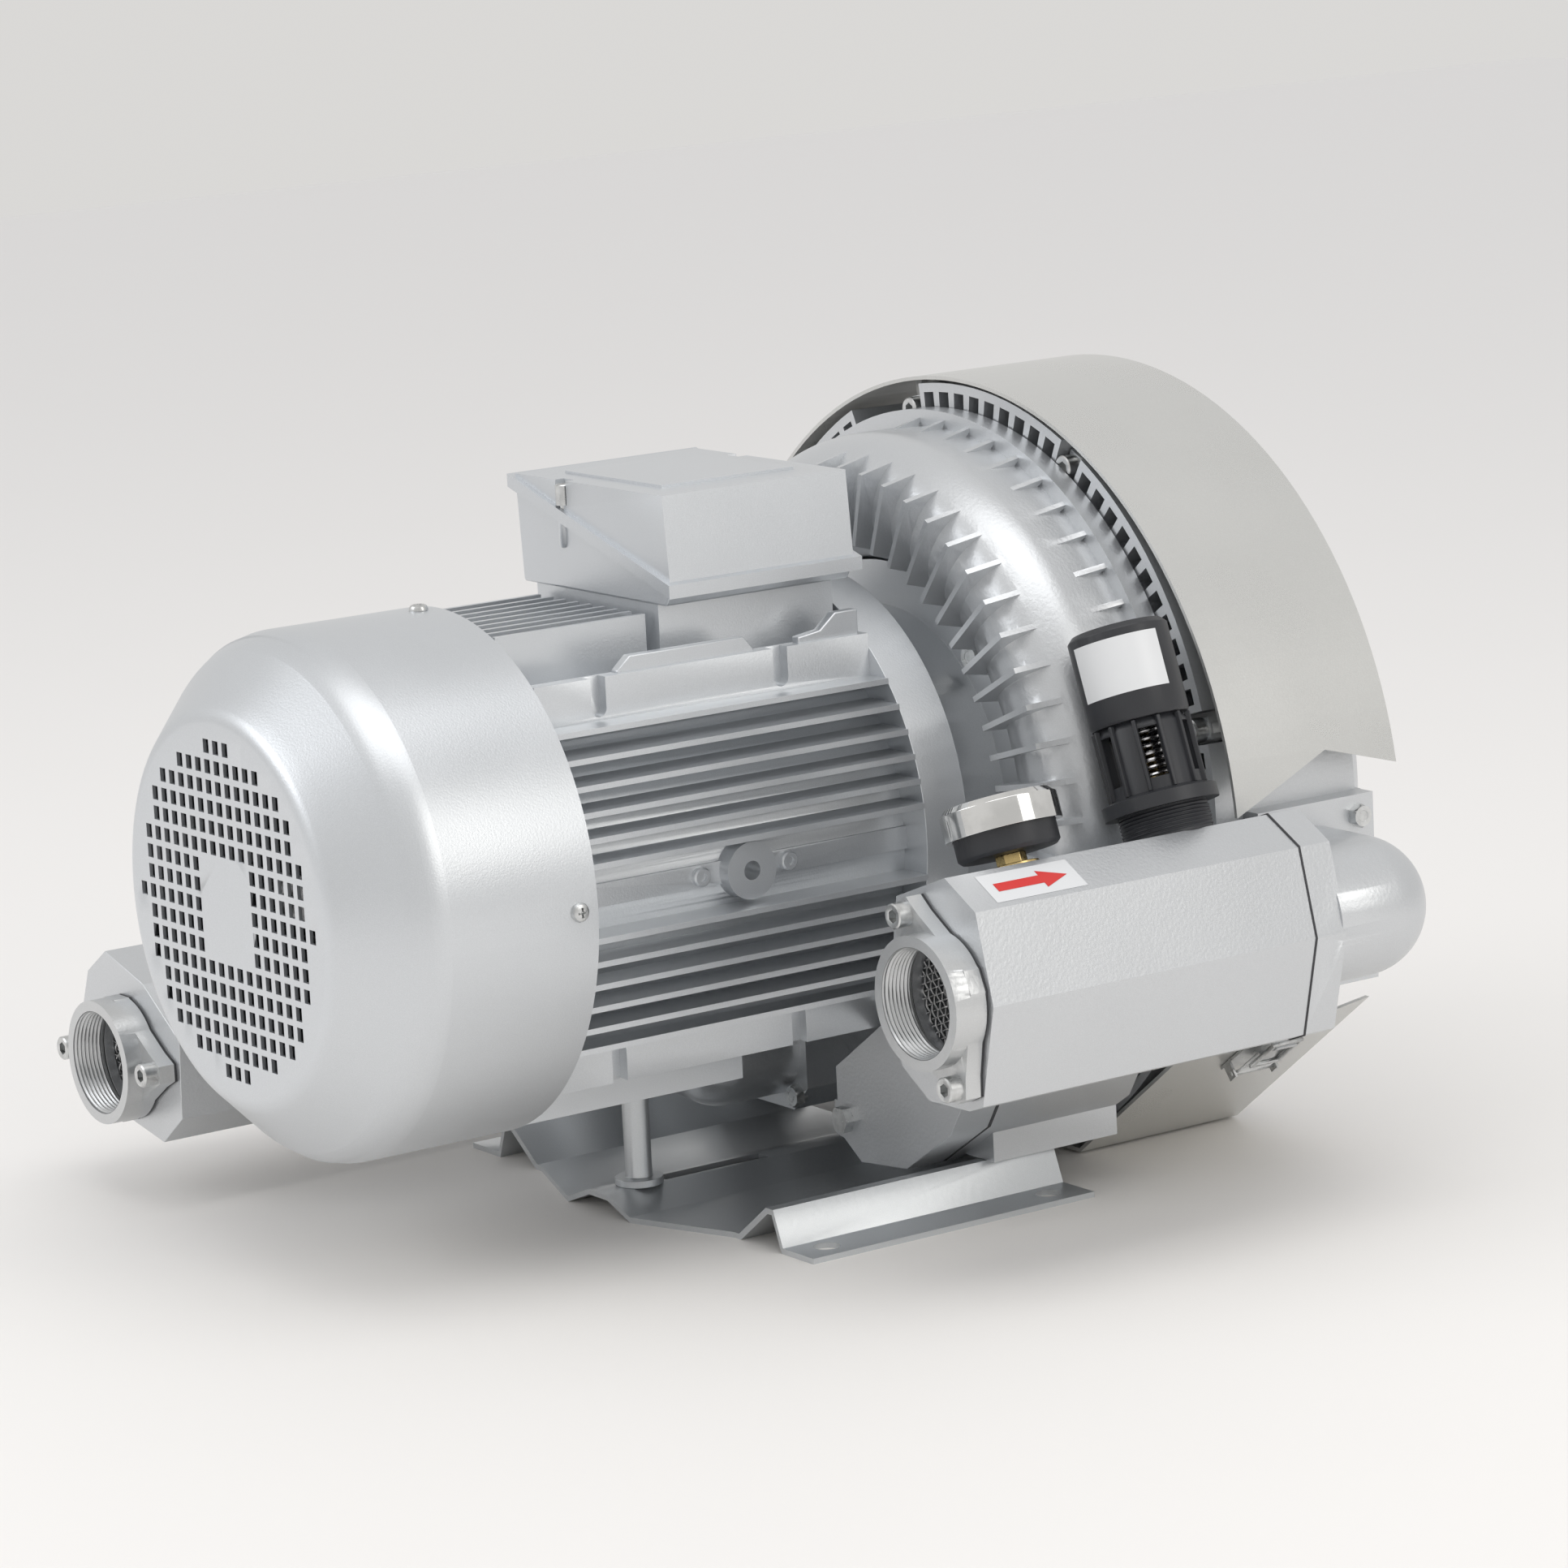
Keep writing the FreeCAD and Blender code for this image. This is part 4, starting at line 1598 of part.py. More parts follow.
def lower_shroud():
    """Trough of bent sheet under the casing, with cut ends."""
    body = new_body("lower_shroud")
    high = trough_corner()
    sheet_x, sheet_z = s.shroud_sheet * sine(s.trough_slope), s.shroud_sheet * cosine(s.trough_slope)
    bend = s.shroud_sheet * sine(s.trough_slope) / (1 + cosine(s.trough_slope))
    under = [(-s.trough_out, high), (-s.trough_half, s.trough_low), (s.trough_half, s.trough_low),
             (s.trough_out, high)]
    upper = [(s.trough_out - sheet_x, high + sheet_z), (s.trough_half - bend, s.trough_low + s.shroud_sheet),
             (-s.trough_half + bend, s.trough_low + s.shroud_sheet),
             (-s.trough_out + sheet_x, high + sheet_z)]
    add(body, "XZ", under + upper, s.shroud_front, s.shroud_back - s.shroud_front)
    edge = [(s.shroud_front - 1, high + 5), (s.shroud_front - 1, s.trough_front_high),
            (s.trough_step_y, s.trough_front_high), (s.shroud_back, high), (s.shroud_back + 1, high + 5)]
    add(body, "YZ", edge, 0, 2 * s.trough_out + 10, middle=True, cut=True)
    return body


# Gauge and relief valve

def gauge_stem():
    """Washer and brass hexagon under the gauge, with a tail in the silencer."""
    body = new_body("gauge_stem")
    sketch = sketch_on(body, "XY", s.silencer_top)
    round_hole(sketch, 0, 0, s.gauge_washer)
    slab(body, sketch, s.gauge_washer_thick)
    corners = [(s.gauge_hex * cosine(60 * step), s.gauge_hex * sine(60 * step)) for step in range(6)]
    add(body, "XY", corners, s.silencer_top, s.gauge_low - s.silencer_top)
    sketch = sketch_on(body, "XY", s.silencer_top - 12)
    round_hole(sketch, 0, 0, s.gauge_hex / 2)
    slab(body, sketch, 13)
    return at_gauge(body)


def at_gauge(body):
    """Puts a piece made about Z at the gauge."""
    x, y, z, turn = SIDES["right"]
    return place(body, x, s.gauge_y, z, turn)


def at_valve(body):
    """Puts a piece made about Z at the relief valve."""
    x, y, z, turn = SIDES["right"]
    return place(body, x, s.valve_y, z, turn)


def gauge_case():
    """Case with the dial and the pin of the needle."""
    body = new_body("gauge_case")
    dial = s.gauge_top - s.gauge_dial_drop
    inside = s.gauge_radius - s.gauge_bezel_wall - s.air_gap
    revolve(body, [(0, s.gauge_low), (s.gauge_case - 2, s.gauge_low), (s.gauge_case, s.gauge_low + 2),
                   (s.gauge_case, s.gauge_rim - s.air_gap), (s.gauge_case, s.gauge_rim + 3),
                   (inside, s.gauge_rim + 3),
                   (inside, dial), (s.gauge_pin, dial), (s.gauge_pin, dial + 2.6), (0, dial + 2.6)],
                   plane="XZ")
    return at_gauge(body)


def gauge_bezel():
    """Round rim that holds the glass."""
    body = new_body("gauge_bezel")
    inside = s.gauge_radius - s.gauge_bezel_wall
    revolve(body, [(s.gauge_case + s.air_gap, s.gauge_rim), (s.gauge_radius, s.gauge_rim),
                   (s.gauge_radius, s.gauge_top - 3),
                   (s.gauge_radius - 3, s.gauge_top), (inside - 2, s.gauge_top),
                   (inside - 2, s.gauge_top - 1),
                   (inside, s.gauge_top - 1), (inside, s.gauge_rim + 3 - s.air_gap),
                   (s.gauge_case + s.air_gap, s.gauge_rim + 3 - s.air_gap)], plane="XZ")
    return at_gauge(body)


def gauge_glass():
    """Window in the bezel."""
    body = new_body("gauge_glass")
    inside = s.gauge_radius - s.gauge_bezel_wall - s.air_gap
    top = s.gauge_top - 1
    revolve(body, [(0, top - s.gauge_glass_thick), (inside, top - s.gauge_glass_thick), (inside, top),
                   (0, top)], plane="XZ")
    return at_gauge(body)


def gauge_needle():
    """Needle with a hub that turns on the case's pin."""
    body = new_body("gauge_needle")
    low = s.gauge_top - s.gauge_dial_drop + 0.8
    sketch = sketch_on(body, "XY", low)
    round_hole(sketch, 0, 0, s.needle_hub)
    slab(body, sketch, s.needle_thick)
    pointer = [(-s.needle_half * 2, -s.needle_short), (s.needle_half * 2, -s.needle_short),
               (s.needle_half / 2, s.needle_long), (-s.needle_half / 2, s.needle_long)]
    add(body, "XY", pointer, low, s.needle_thick)
    drill(body, "XY", [(0, 0, s.gauge_pin + s.bearing_gap)], low - 1, s.needle_thick + 2)
    return at_gauge(body)


def valve_body():
    """Foot, collar and cage of the relief valve, with the seat of its plate."""
    body = new_body("valve_body")
    shoulder = s.valve_body_high - 4
    revolve(body, [(s.valve_seat, s.silencer_top), (s.valve_thread, s.silencer_top),
                   (s.valve_thread, s.valve_collar_low),
                   (s.valve_collar, s.valve_collar_low), (s.valve_collar, s.valve_collar_high),
                   (s.valve_body, s.valve_collar_high + 2), (s.valve_body, shoulder),
                   (s.valve_body - 2, s.valve_body_high), (s.valve_bore, s.valve_body_high),
                   (s.valve_bore, s.valve_seat_high), (s.valve_seat, s.valve_seat_high)], plane="XZ")
    window = rectangle(-s.valve_window_half, s.valve_window_low, s.valve_window_half, s.valve_window_high)
    for turn in (0, 60, 120):
        sketch = sketch_on(body, "XZ", 0, turn, Vector(0, 1, 0))
        outline(sketch, window)
        slab(body, sketch, 2 * s.valve_body + 4, middle=True, cut=True)
    return at_valve(body)


def valve_cap():
    """Screw cap over the cage; it sets the spring and guides the plate's stem."""
    body = new_body("valve_cap")
    top = s.valve_cap_top
    guide = s.valve_stem + s.air_gap
    revolve(body, [(guide, s.valve_body_high), (s.valve_cap_outer - 1, s.valve_body_high),
                   (s.valve_cap_outer, s.valve_body_high + 2), (s.valve_cap_outer, top - 3),
                   (s.valve_cap_outer - 3, top), (0, top), (0, top - s.valve_cap_wall),
                   (s.valve_cap_outer - s.valve_cap_wall, top - s.valve_cap_wall),
                   (s.valve_cap_outer - s.valve_cap_wall, s.valve_body_high + s.valve_cap_wall),
                   (guide, s.valve_body_high + s.valve_cap_wall)], plane="XZ")
    return at_valve(body)


def valve_plate():
    """Plate on the seat with a stem in the cap."""
    body = new_body("valve_plate")
    low = s.valve_seat_high + s.air_gap
    revolve(body, [(0, low), (s.valve_plate_radius, low), (s.valve_plate_radius, low + s.valve_plate_thick),
                   (s.valve_stem, low + s.valve_plate_thick), (s.valve_stem, s.valve_stem_top),
                   (0, s.valve_stem_top)],
            plane="XZ")
    return at_valve(body)


def valve_spring():
    """Coil between the plate and the cap."""
    low = s.valve_seat_high + s.valve_plate_thick + 2 * s.air_gap + s.valve_spring_wire
    high = s.valve_body_high - s.air_gap - s.valve_spring_wire
    helix = doc.addObject("Part::Helix", "valve_spring_path")
    bind(helix, "Pitch", (high - low) / s.valve_spring_turns)
    bind(helix, "Height", high - low)
    bind(helix, "Radius", s.valve_spring_radius)
    wire = doc.addObject("Part::RegularPolygon", "valve_spring_wire_section")
    wire.Polygon = 8
    bind(wire, "Circumradius", s.valve_spring_wire)
    place(wire, x=s.valve_spring_radius, turn=90, axis=Vector(1, 0, 0))
    coil = doc.addObject("Part::Sweep", "valve_spring")
    doc.recompute()
    coil.Sections = [wire]
    coil.Spine = (helix, [])
    coil.Solid = True
    coil.Frenet = True
    lean = s.right_lean
    return place(coil, s.right_port_x - low * sine(lean), s.valve_y, s.right_port_z + low * cosine(lean),
                 -lean)


# Latches

def on_slope(body, side):
    """Puts a piece made on the right slope, with X up the slope and Z away from the ground, on a side."""
    if side == "right":
        return place(body, s.trough_half, s.latch_y, s.trough_low, -s.trough_slope)
    return place(body, -s.trough_half, s.latch_y, s.trough_low, s.trough_slope - 180)


def outside(side, distance):
    """Level of a face outside the shroud: the right one's slope faces down, the left one is turned over."""
    return -distance if side == "right" else distance


def latch_slab(body, side, points, near, thick, **options):
    """Slab with an outline in the slope's plane, from a distance outside the shroud outwards."""
    start = outside(side, near + thick) if side == "right" else near
    return add(body, "XY", points, start, thick, **options)


def latch_plate(side):
    """Plate on the slope with two ears for the lever's pin."""
    body = new_body(f"{side}_latch_plate")
    low, high = s.latch_low, s.latch_high
    latch_slab(body, side, rectangle(low, -s.latch_half, high, s.latch_half), s.air_gap, s.latch_sheet)
    pin = (low + s.latch_ear, s.latch_ear)
    for edge in (1, -1):
        ear = rectangle(low + s.latch_ear / 2, edge * s.latch_half, low + s.latch_ear * 1.5,
                        edge * (s.latch_half - s.latch_sheet))
        latch_slab(body, side, ear, s.air_gap, s.latch_lift + s.latch_ear / 2)
    centre = outside(side, s.air_gap + s.latch_lift)
    drill(body, "XZ", [(pin[0], centre, s.latch_pin + s.bearing_gap)], -s.latch_half - 1,
          2 * s.latch_half + 2)
    return on_slope(body, side)


def latch_lever(side):
    """Lever on a pin between the ears, lying on the plate when shut."""
    body = new_body(f"{side}_latch_lever")
    x = s.latch_low + s.latch_ear
    centre = outside(side, s.air_gap + s.latch_lift)
    sketch = sketch_on(body, "XZ", -s.latch_half)
    round_hole(sketch, x, centre, s.latch_pin)
    slab(body, sketch, 2 * s.latch_half)
    tongue = rectangle(x - s.latch_pin - 1, -s.lever_half, x + s.lever_length, s.lever_half)
    latch_slab(body, side, tongue, s.air_gap + s.latch_lift - s.latch_sheet / 2, s.latch_sheet)
    return on_slope(body, side)


def latch_bail(side):
    """Wire loop from the lever to the keeper on the casing."""
    start = s.latch_low + s.latch_ear + s.bail_pivot
    level = outside(side, s.air_gap + s.latch_lift + s.latch_sheet / 2 + s.bail_wire + s.bearing_gap)
    legs = []
    for edge in (1, -1):
        body = new_body(f"{side}_bail_leg_{edge + 1}")
        sketch = sketch_on(body, "YZ", start)
        round_hole(sketch, edge * s.bail_half, level, s.bail_wire)
        slab(body, sketch, s.bail_length)
        legs.append(on_slope(body, side))
    for index, x in enumerate((start, start + s.bail_length)):
        body = new_body(f"{side}_bail_bar_{index}")
        sketch = sketch_on(body, "XZ", -s.bail_half - s.bail_wire)
        round_hole(sketch, x, level, s.bail_wire)
        slab(body, sketch, 2 * s.bail_half + 2 * s.bail_wire)
        legs.append(on_slope(body, side))
    return fuse(f"{side}_latch_bail", legs)


MAKERS = [base_plate, motor_post, foot_bolts, motor_frame, fan_end_shield, stator_core, stator_winding,
          fan_cover, fan_cover_screws, motor_fan, shaft, rotor_core, motor_flange, flange_bolts,
          terminal_box_base, terminal_box_lid, terminal_lid_screws, terminal_block, front_casing,
          middle_casing, rear_casing, casing_screws, bearing_cover, duct_cover, duct_cover_gasket,
          port_screws, right_elbow, left_duct, joint_bolts, upper_shroud, lower_shroud, gauge_stem,
          gauge_case, gauge_bezel, gauge_glass, gauge_needle, valve_body, valve_cap, valve_plate,
          valve_spring]

pieces = [maker() for maker in MAKERS]
pieces.append(bearing("fan_end_bearing", s.shaft_rear_seat, s.rear_bearing_outer, s.rear_bearing_front,
                      s.rear_bearing_wide))
pieces.append(bearing("blower_end_bearing", s.shaft_drive_seat, s.drive_bearing_outer, s.drive_bearing_front,
                      s.drive_bearing_wide))
pieces.append(bearing("far_bearing", s.shaft_far_seat, s.far_bearing_outer, s.far_bearing_front,
                      s.far_bearing_wide))
pieces.append(impeller("first_impeller", 0, 1))
pieces.append(impeller("second_impeller", s.impeller_step, -1))
for side_name in SIDES:
    pieces.append(silencer(side_name))
    pieces.append(port_flange(side_name))
    pieces.append(port_gasket(side_name))
    pieces.append(port_mesh(side_name))
    pieces += [latch_plate(side_name), latch_lever(side_name), latch_bail(side_name)]

doc.recompute()
broken = [item.Label for item in doc.Objects if {"Invalid", "Error"} & set(item.State)]
if broken:
    raise RuntimeError(f"failed: {broken}")
for piece in pieces:
    if piece.Shape.isNull() or not piece.Shape.isValid() or not piece.Shape.Solids:
        raise RuntimeError(f"bad shape: {piece.Label}")

os.makedirs("parts", exist_ok=True)
for piece in pieces:
    piece.Shape.exportStep(f"parts/{piece.Label}.step")
print(len(pieces), "pieces")
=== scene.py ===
import json
import math

import bmesh
import bpy
import numpy as np
from mathutils import Matrix, Vector


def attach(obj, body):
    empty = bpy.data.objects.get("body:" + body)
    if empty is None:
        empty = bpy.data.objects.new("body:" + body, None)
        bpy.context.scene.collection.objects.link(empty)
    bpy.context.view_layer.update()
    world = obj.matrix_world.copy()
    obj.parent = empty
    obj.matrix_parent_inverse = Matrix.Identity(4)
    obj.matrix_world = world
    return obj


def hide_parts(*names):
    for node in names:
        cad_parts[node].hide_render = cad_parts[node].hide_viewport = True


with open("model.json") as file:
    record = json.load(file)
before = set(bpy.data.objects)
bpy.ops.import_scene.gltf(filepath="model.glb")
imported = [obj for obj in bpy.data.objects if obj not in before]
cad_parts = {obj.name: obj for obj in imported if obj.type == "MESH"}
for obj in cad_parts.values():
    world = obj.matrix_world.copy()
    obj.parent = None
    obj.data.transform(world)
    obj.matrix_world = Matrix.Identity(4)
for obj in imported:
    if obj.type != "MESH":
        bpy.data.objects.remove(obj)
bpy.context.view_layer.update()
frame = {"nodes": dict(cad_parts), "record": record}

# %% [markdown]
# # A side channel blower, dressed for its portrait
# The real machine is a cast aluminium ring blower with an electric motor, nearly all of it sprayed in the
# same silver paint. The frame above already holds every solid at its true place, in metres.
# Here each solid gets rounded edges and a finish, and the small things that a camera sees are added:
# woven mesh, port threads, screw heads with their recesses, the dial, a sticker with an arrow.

NODES = frame["nodes"]
MM = 0.001

# %% [markdown]
# ## Shader sums
# A finish is a small network of nodes. Writing it as sums keeps it readable: a wire is one output socket,
# and adding or multiplying wires adds the Math nodes. A finish makes any other kind of node with one
# method.

# %% A wire and a finish
# Sockets of a Mix node that blends colours: the mask, the two colours, and its output.
MIX_MASK, MIX_LOW, MIX_HIGH, MIX_COLOR = 0, 6, 7, 2


class Wire:
    """One output socket of a shader network, which can be used in sums."""

    def __init__(self, finish, socket):
        self.finish = finish
        self.socket = socket

    def combine(self, operation, other):
        """A Math node of this value and another."""
        return self.finish.node("ShaderNodeMath", {"operation": operation}, {0: self, 1: other})

    def __add__(self, other):
        return self.combine("ADD", other)

    __radd__ = __add__

    def __mul__(self, other):
        return self.combine("MULTIPLY", other)

    __rmul__ = __mul__

    def between(self, low, high):
        """A smooth step from 0 at low to 1 at high."""
        values = {"Value": self, "From Min": low, "From Max": high}
        return self.finish.node("ShaderNodeMapRange", {"interpolation_type": "SMOOTHSTEP"}, values)


class Finish:
    """A material built round one shader, with constants on the shader's own sockets."""

    def __init__(self, name, color, roughness, metallic=0.0, **constants):
        self.material = bpy.data.materials.new(name)
        self.material.use_nodes = True
        self.tree = self.material.node_tree
        self.shader = self.tree.nodes["Principled BSDF"]
        self.color = (*color, 1.0)
        self.shader.inputs["Base Color"].default_value = self.color
        self.shader.inputs["Roughness"].default_value = roughness
        self.shader.inputs["Metallic"].default_value = metallic
        for socket, value in constants.items():
            self.shader.inputs[socket.replace("_", " ")].default_value = value
        self.place = self.node("ShaderNodeTexCoord", {}, {}, "Object")

    def node(self, kind, settings, values, output=0):
        """Makes a node, sets its settings, then its sockets' values or links."""
        node = self.tree.nodes.new(kind)
        for name, value in settings.items():
            setattr(node, name, value)
        for name, value in values.items():
            if isinstance(value, Wire):
                self.tree.links.new(value.socket, node.inputs[name])
            else:
                node.inputs[name].default_value = value
        return Wire(self, node.outputs[output])

    def noise(self, scale, detail=2.0):
        """Soft noise between 0 and 1, with so many blobs in a metre."""
        values = {"Vector": self.place, "Scale": scale, "Detail": detail}
        return self.node("ShaderNodeTexNoise", {}, values)

    def blend(self, low, high, mask):
        """A colour that goes from low to high with the mask."""
        values = {MIX_LOW: low, MIX_HIGH: high, MIX_MASK: mask}
        return self.node("ShaderNodeMix", {"data_type": "RGBA"}, values, MIX_COLOR)

    def shade(self, factor):
        """The finish's own colour, made lighter or darker."""
        return tuple(min(part * factor, 1) for part in self.color[:3]) + (1.0,)

    def feed(self, socket, wire):
        """Links a wire to a socket of the shader."""
        self.tree.links.new(wire.socket, self.shader.inputs[socket])
        return self

    def relief(self, height, distance, strength):
        """Raises the surface by a height between 0 and 1, times a distance in metres."""
        values = {"Height": height, "Distance": distance, "Strength": strength}
        return self.feed("Normal", self.node("ShaderNodeBump", {}, values, "Normal"))


print("wires can be added and multiplied")

# %% [markdown]
# ## Silver paint
# The paint is aluminium flake in a clear binder: it reflects broadly, sparkles at the scale of half a
# millimetre and is a little uneven where it was sprayed. A metallic shader with high roughness gives the
# broad sheen, a very fine noise the flakes, and a coarse noise the uneven spray.
# On the castings the skin of the mould shows through as a fine orange peel, so their relief is deeper.

# %% Paints
# Blobs in a metre: the flakes of the paint, and the patches left by the spray.
FLAKES, SPRAY = 2600.0, 14.0


def flaked(name, color, roughness, metallic, grain, depth, **constants):
    """Paint with flakes: fine noise moves colour and roughness, coarse noise the spray, grain the relief."""
    paint = Finish(name, color, roughness, metallic, **constants)
    flakes = paint.noise(FLAKES, 1.0).between(0.35, 0.75)
    spray = paint.noise(SPRAY, 3.0)
    tone = paint.blend(paint.shade(0.92), paint.shade(1.06), flakes * 0.55 + spray * 0.45)
    paint.feed("Base Color", tone)
    paint.feed("Roughness", spray * 0.10 + flakes * 0.06 + (roughness - 0.08))
    return paint.relief(paint.noise(grain), depth, 0.55).material


FINISHES = {
    "motor_paint": flaked("silver_paint", (0.66, 0.68, 0.70), 0.36, 0.78, 900.0, 0.00012,
                          Coat_Weight=0.12, Coat_Roughness=0.25),
    "casting": flaked("silver_on_casting", (0.645, 0.66, 0.675), 0.37, 0.78, 520.0, 0.00022,
                      Coat_Weight=0.10),
    "port_casting": flaked("bare_casting", (0.62, 0.63, 0.635), 0.34, 0.85, 420.0, 0.00020),
    "base_steel": flaked("silver_on_sheet", (0.63, 0.65, 0.665), 0.33, 0.78, 260.0, 0.00010,
                         Coat_Weight=0.15),
    "shroud_sheet": flaked("warm_silver_sheet", (0.67, 0.67, 0.65), 0.31, 0.75, 700.0, 0.00008,
                           Coat_Weight=0.15),
}
print("paints:", sorted(FINISHES))

# %% [markdown]
# ## Bare metals, plastic and the rest
# Zinc has a faint bloom of crystals, and the other bare metals are slightly cloudy at scales of their own.
# Laminations show as bands along the shaft. Moulded black plastic has a dull spark-eroded grain. Each of
# these is one pattern that feeds colour, roughness or relief.

# %% Metals and plastics


def bloomed(name, color, roughness, scale, spread=0.12):
    """Metal with a cloudy bloom that moves colour and roughness together."""
    metal = Finish(name, color, roughness, 1.0)
    cloud = metal.noise(scale, 4.0).between(0.3, 0.7)
    metal.feed("Base Color", metal.blend(metal.shade(0.86), metal.shade(1.05), cloud))
    metal.feed("Roughness", cloud * spread + (roughness - spread / 2))
    return metal.relief(metal.noise(scale * 6), 0.000004, 0.5).material


def layered(name, color, roughness, scale):
    """Metal in layers along the shaft: a wave along Y, and one wave is 0.314 m long over the scale."""
    metal = Finish(name, color, roughness, 1.0)
    wave = metal.node("ShaderNodeTexWave", {"bands_direction": "Y"},
                      {"Vector": metal.place, "Scale": scale, "Distortion": 0.4})
    metal.feed("Base Color", metal.blend(metal.shade(0.7), metal.shade(1.1), wave))
    return metal.relief(wave, 0.00008, 0.6).material


def moulded(name, color, roughness, grain):
    """Moulded plastic: a fine grain in the relief and a slight change of gloss."""
    plastic = Finish(name, color, roughness)
    gloss = plastic.noise(30.0)
    plastic.feed("Roughness", gloss * 0.14 + (roughness - 0.07))
    plastic.feed("Base Color", plastic.blend(plastic.shade(0.8), plastic.shade(1.35), gloss))
    return plastic.relief(plastic.noise(grain), 0.00008, 0.6).material


def wound(name, color):
    """Enamelled wire in a bundle, wound round the shaft; its colour is painted shade, darker in the grooves
    between the wires and a little lighter on their tops.
    """
    wire = Finish(name, color, 0.32, 0.9, Coat_Weight=0.4)
    strands_and_shade = wire.node("ShaderNodeTexWave", {"wave_type": "RINGS", "rings_direction": "Y"},
                       {"Vector": wire.place, "Scale": 90.0, "Distortion": 2.0, "Detail": 1.0})
    # Painted shade: the colour is darker in the grooves between the wires and a little lighter on their tops.
    wire.feed("Base Color", wire.blend(wire.shade(0.55), wire.shade(1.1), strands_and_shade))
    return wire.relief(strands_and_shade, 0.0003, 0.7).material


glass = Finish("clear_glass", (0.95, 0.97, 0.97), 0.04, 0.0, Transmission_Weight=1.0, IOR=1.45)
glass.feed("Roughness", glass.noise(120.0, 3.0).between(0.5, 0.8) * 0.05 + 0.02)
FINISHES.update({
    "zinc": bloomed("zinc_plate", (0.66, 0.67, 0.67), 0.30, 240.0, 0.06),
    "chrome": bloomed("polished_chrome", (0.80, 0.80, 0.79), 0.09, 60.0, 0.05),
    "brass": bloomed("turned_brass", (0.70, 0.53, 0.24), 0.27, 300.0),
    "shaft_steel": bloomed("ground_steel", (0.58, 0.58, 0.59), 0.24, 500.0),
    "mesh": bloomed("woven_wire", (0.60, 0.60, 0.60), 0.34, 400.0),
    "impeller_alloy": bloomed("cast_impeller", (0.62, 0.63, 0.64), 0.42, 180.0),
    "core_steel": layered("laminations", (0.34, 0.34, 0.35), 0.45, 41.647),
    "gasket": moulded("gasket_fibre", (0.045, 0.045, 0.048), 0.75, 1200.0),
    "black_plastic": moulded("black_plastic", (0.022, 0.023, 0.026), 0.42, 1500.0),
    "needle": moulded("needle_paint", (0.012, 0.012, 0.012), 0.40, 900.0),
    "copper": wound("copper_winding", (0.62, 0.26, 0.10)),
    "glass": glass.material,
})
print("finishes:", len(FINISHES))

# %% [markdown]
# ## Rounded edges on the solids
# No cast or pressed edge is sharp: it holds a thin line of light. How wide it is depends on how the piece
# is made, so each piece that is named below has a width of its own. The others keep their crisp edges.

# %% Widths of the rounded edges, in millimetres
SLOT_OF = {part["node"]: part["material_slot"] for part in frame["record"]["subparts"]}
BODY_OF = {node: body for body, nodes in frame["record"]["behaviour"]["bodies"].items() for node in nodes}
EDGE_WIDTHS = {
    "motor_frame": 0.5, "fan_end_shield": 0.8, "terminal_box_base": 1.6, "terminal_box_lid": 1.2,
    "motor_flange": 1.0, "front_casing": 0.6, "middle_casing": 0.4, "rear_casing": 0.6, "duct_cover": 2.0,
    "right_silencer": 2.2, "left_silencer": 2.2, "right_elbow": 1.6, "left_duct": 1.4,
    "right_port_flange": 0.8, "left_port_flange": 0.8, "base_plate": 0.8, "motor_post": 0.5,
    "bearing_cover": 1.0, "valve_body": 0.5, "valve_cap": 0.5, "gauge_case": 0.4, "gauge_bezel": 0.3,
    "gauge_stem": 0.4,
}
print("solids with rounded edges:", len(EDGE_WIDTHS))

# %% [markdown]
# ## The wide bend of the fan cover
# The fan cover is pressed from sheet, so its front bends over in a wide curve, which a fine edge doesn't
# give. The edges on two circles round the shaft get a weight, and a bevel follows the weights.

# %% Wide rings
SHAFT_Z = 198.0
# Radius, place along the shaft and width of each ring, in millimetres.
SOFT_RINGS = {"fan_cover": [(101, -324, 5), (137.5, -287, 12)]}
# How near to a ring the end of an edge has to be, in millimetres.
NEAR_RADIUS, NEAR_ALONG = 0.3, 0.1


def soften_rings(piece, rings):
    """Rounds circles round the shaft: an edge whose two ends have a ring's radius and place along the shaft
    gets the ring's width as its bevel weight."""
    mesh = piece.data
    points = np.empty(len(mesh.vertices) * 3)
    mesh.vertices.foreach_get("co", points)
    points = points.reshape(-1, 3) / MM
    ends = np.empty(len(mesh.edges) * 2, dtype=int)
    mesh.edges.foreach_get("vertices", ends)
    ends = ends.reshape(-1, 2)
    radius, along = np.hypot(points[:, 0], points[:, 2] - SHAFT_Z), points[:, 1]
    weights = np.zeros(len(mesh.edges))
    widest = max(ring[2] for ring in rings)
    for ring_radius, ring_along, ring_width in rings:
        on_ring = (np.abs(radius - ring_radius) < NEAR_RADIUS) & (np.abs(along - ring_along) < NEAR_ALONG)
        weights[on_ring[ends[:, 0]] & on_ring[ends[:, 1]]] = ring_width / widest
    mesh.attributes.new("bevel_weight_edge", "FLOAT", "EDGE").data.foreach_set("value", weights)
    bevel = piece.modifiers.new("rings", "BEVEL")
    bevel.width = widest * MM
    bevel.segments = 6
    bevel.limit_method = "WEIGHT"
    bevel.use_clamp_overlap = False
    print(piece.name, "ring edges:", int((weights > 0).sum()))


print("solids with wide rings:", list(SOFT_RINGS))

# %% [markdown]
# ## A dressed copy of each solid
# The solids come as loose triangles, so each one is copied and its points are merged. Where its edges get
# a width, the triangles are joined into flat faces first and a bevel then rounds the edges. The copy stands
# for the solid, rides on the same body and keeps its slot.

# %% Copies of the solids
# Points nearer than this many metres are one; flatter corners are joined, shown smooth, or get no bevel.
MERGE_BELOW = 0.00001
FLAT_BELOW, SMOOTH_BELOW, ROUND_ABOVE = math.radians(0.6), math.radians(28), math.radians(32)


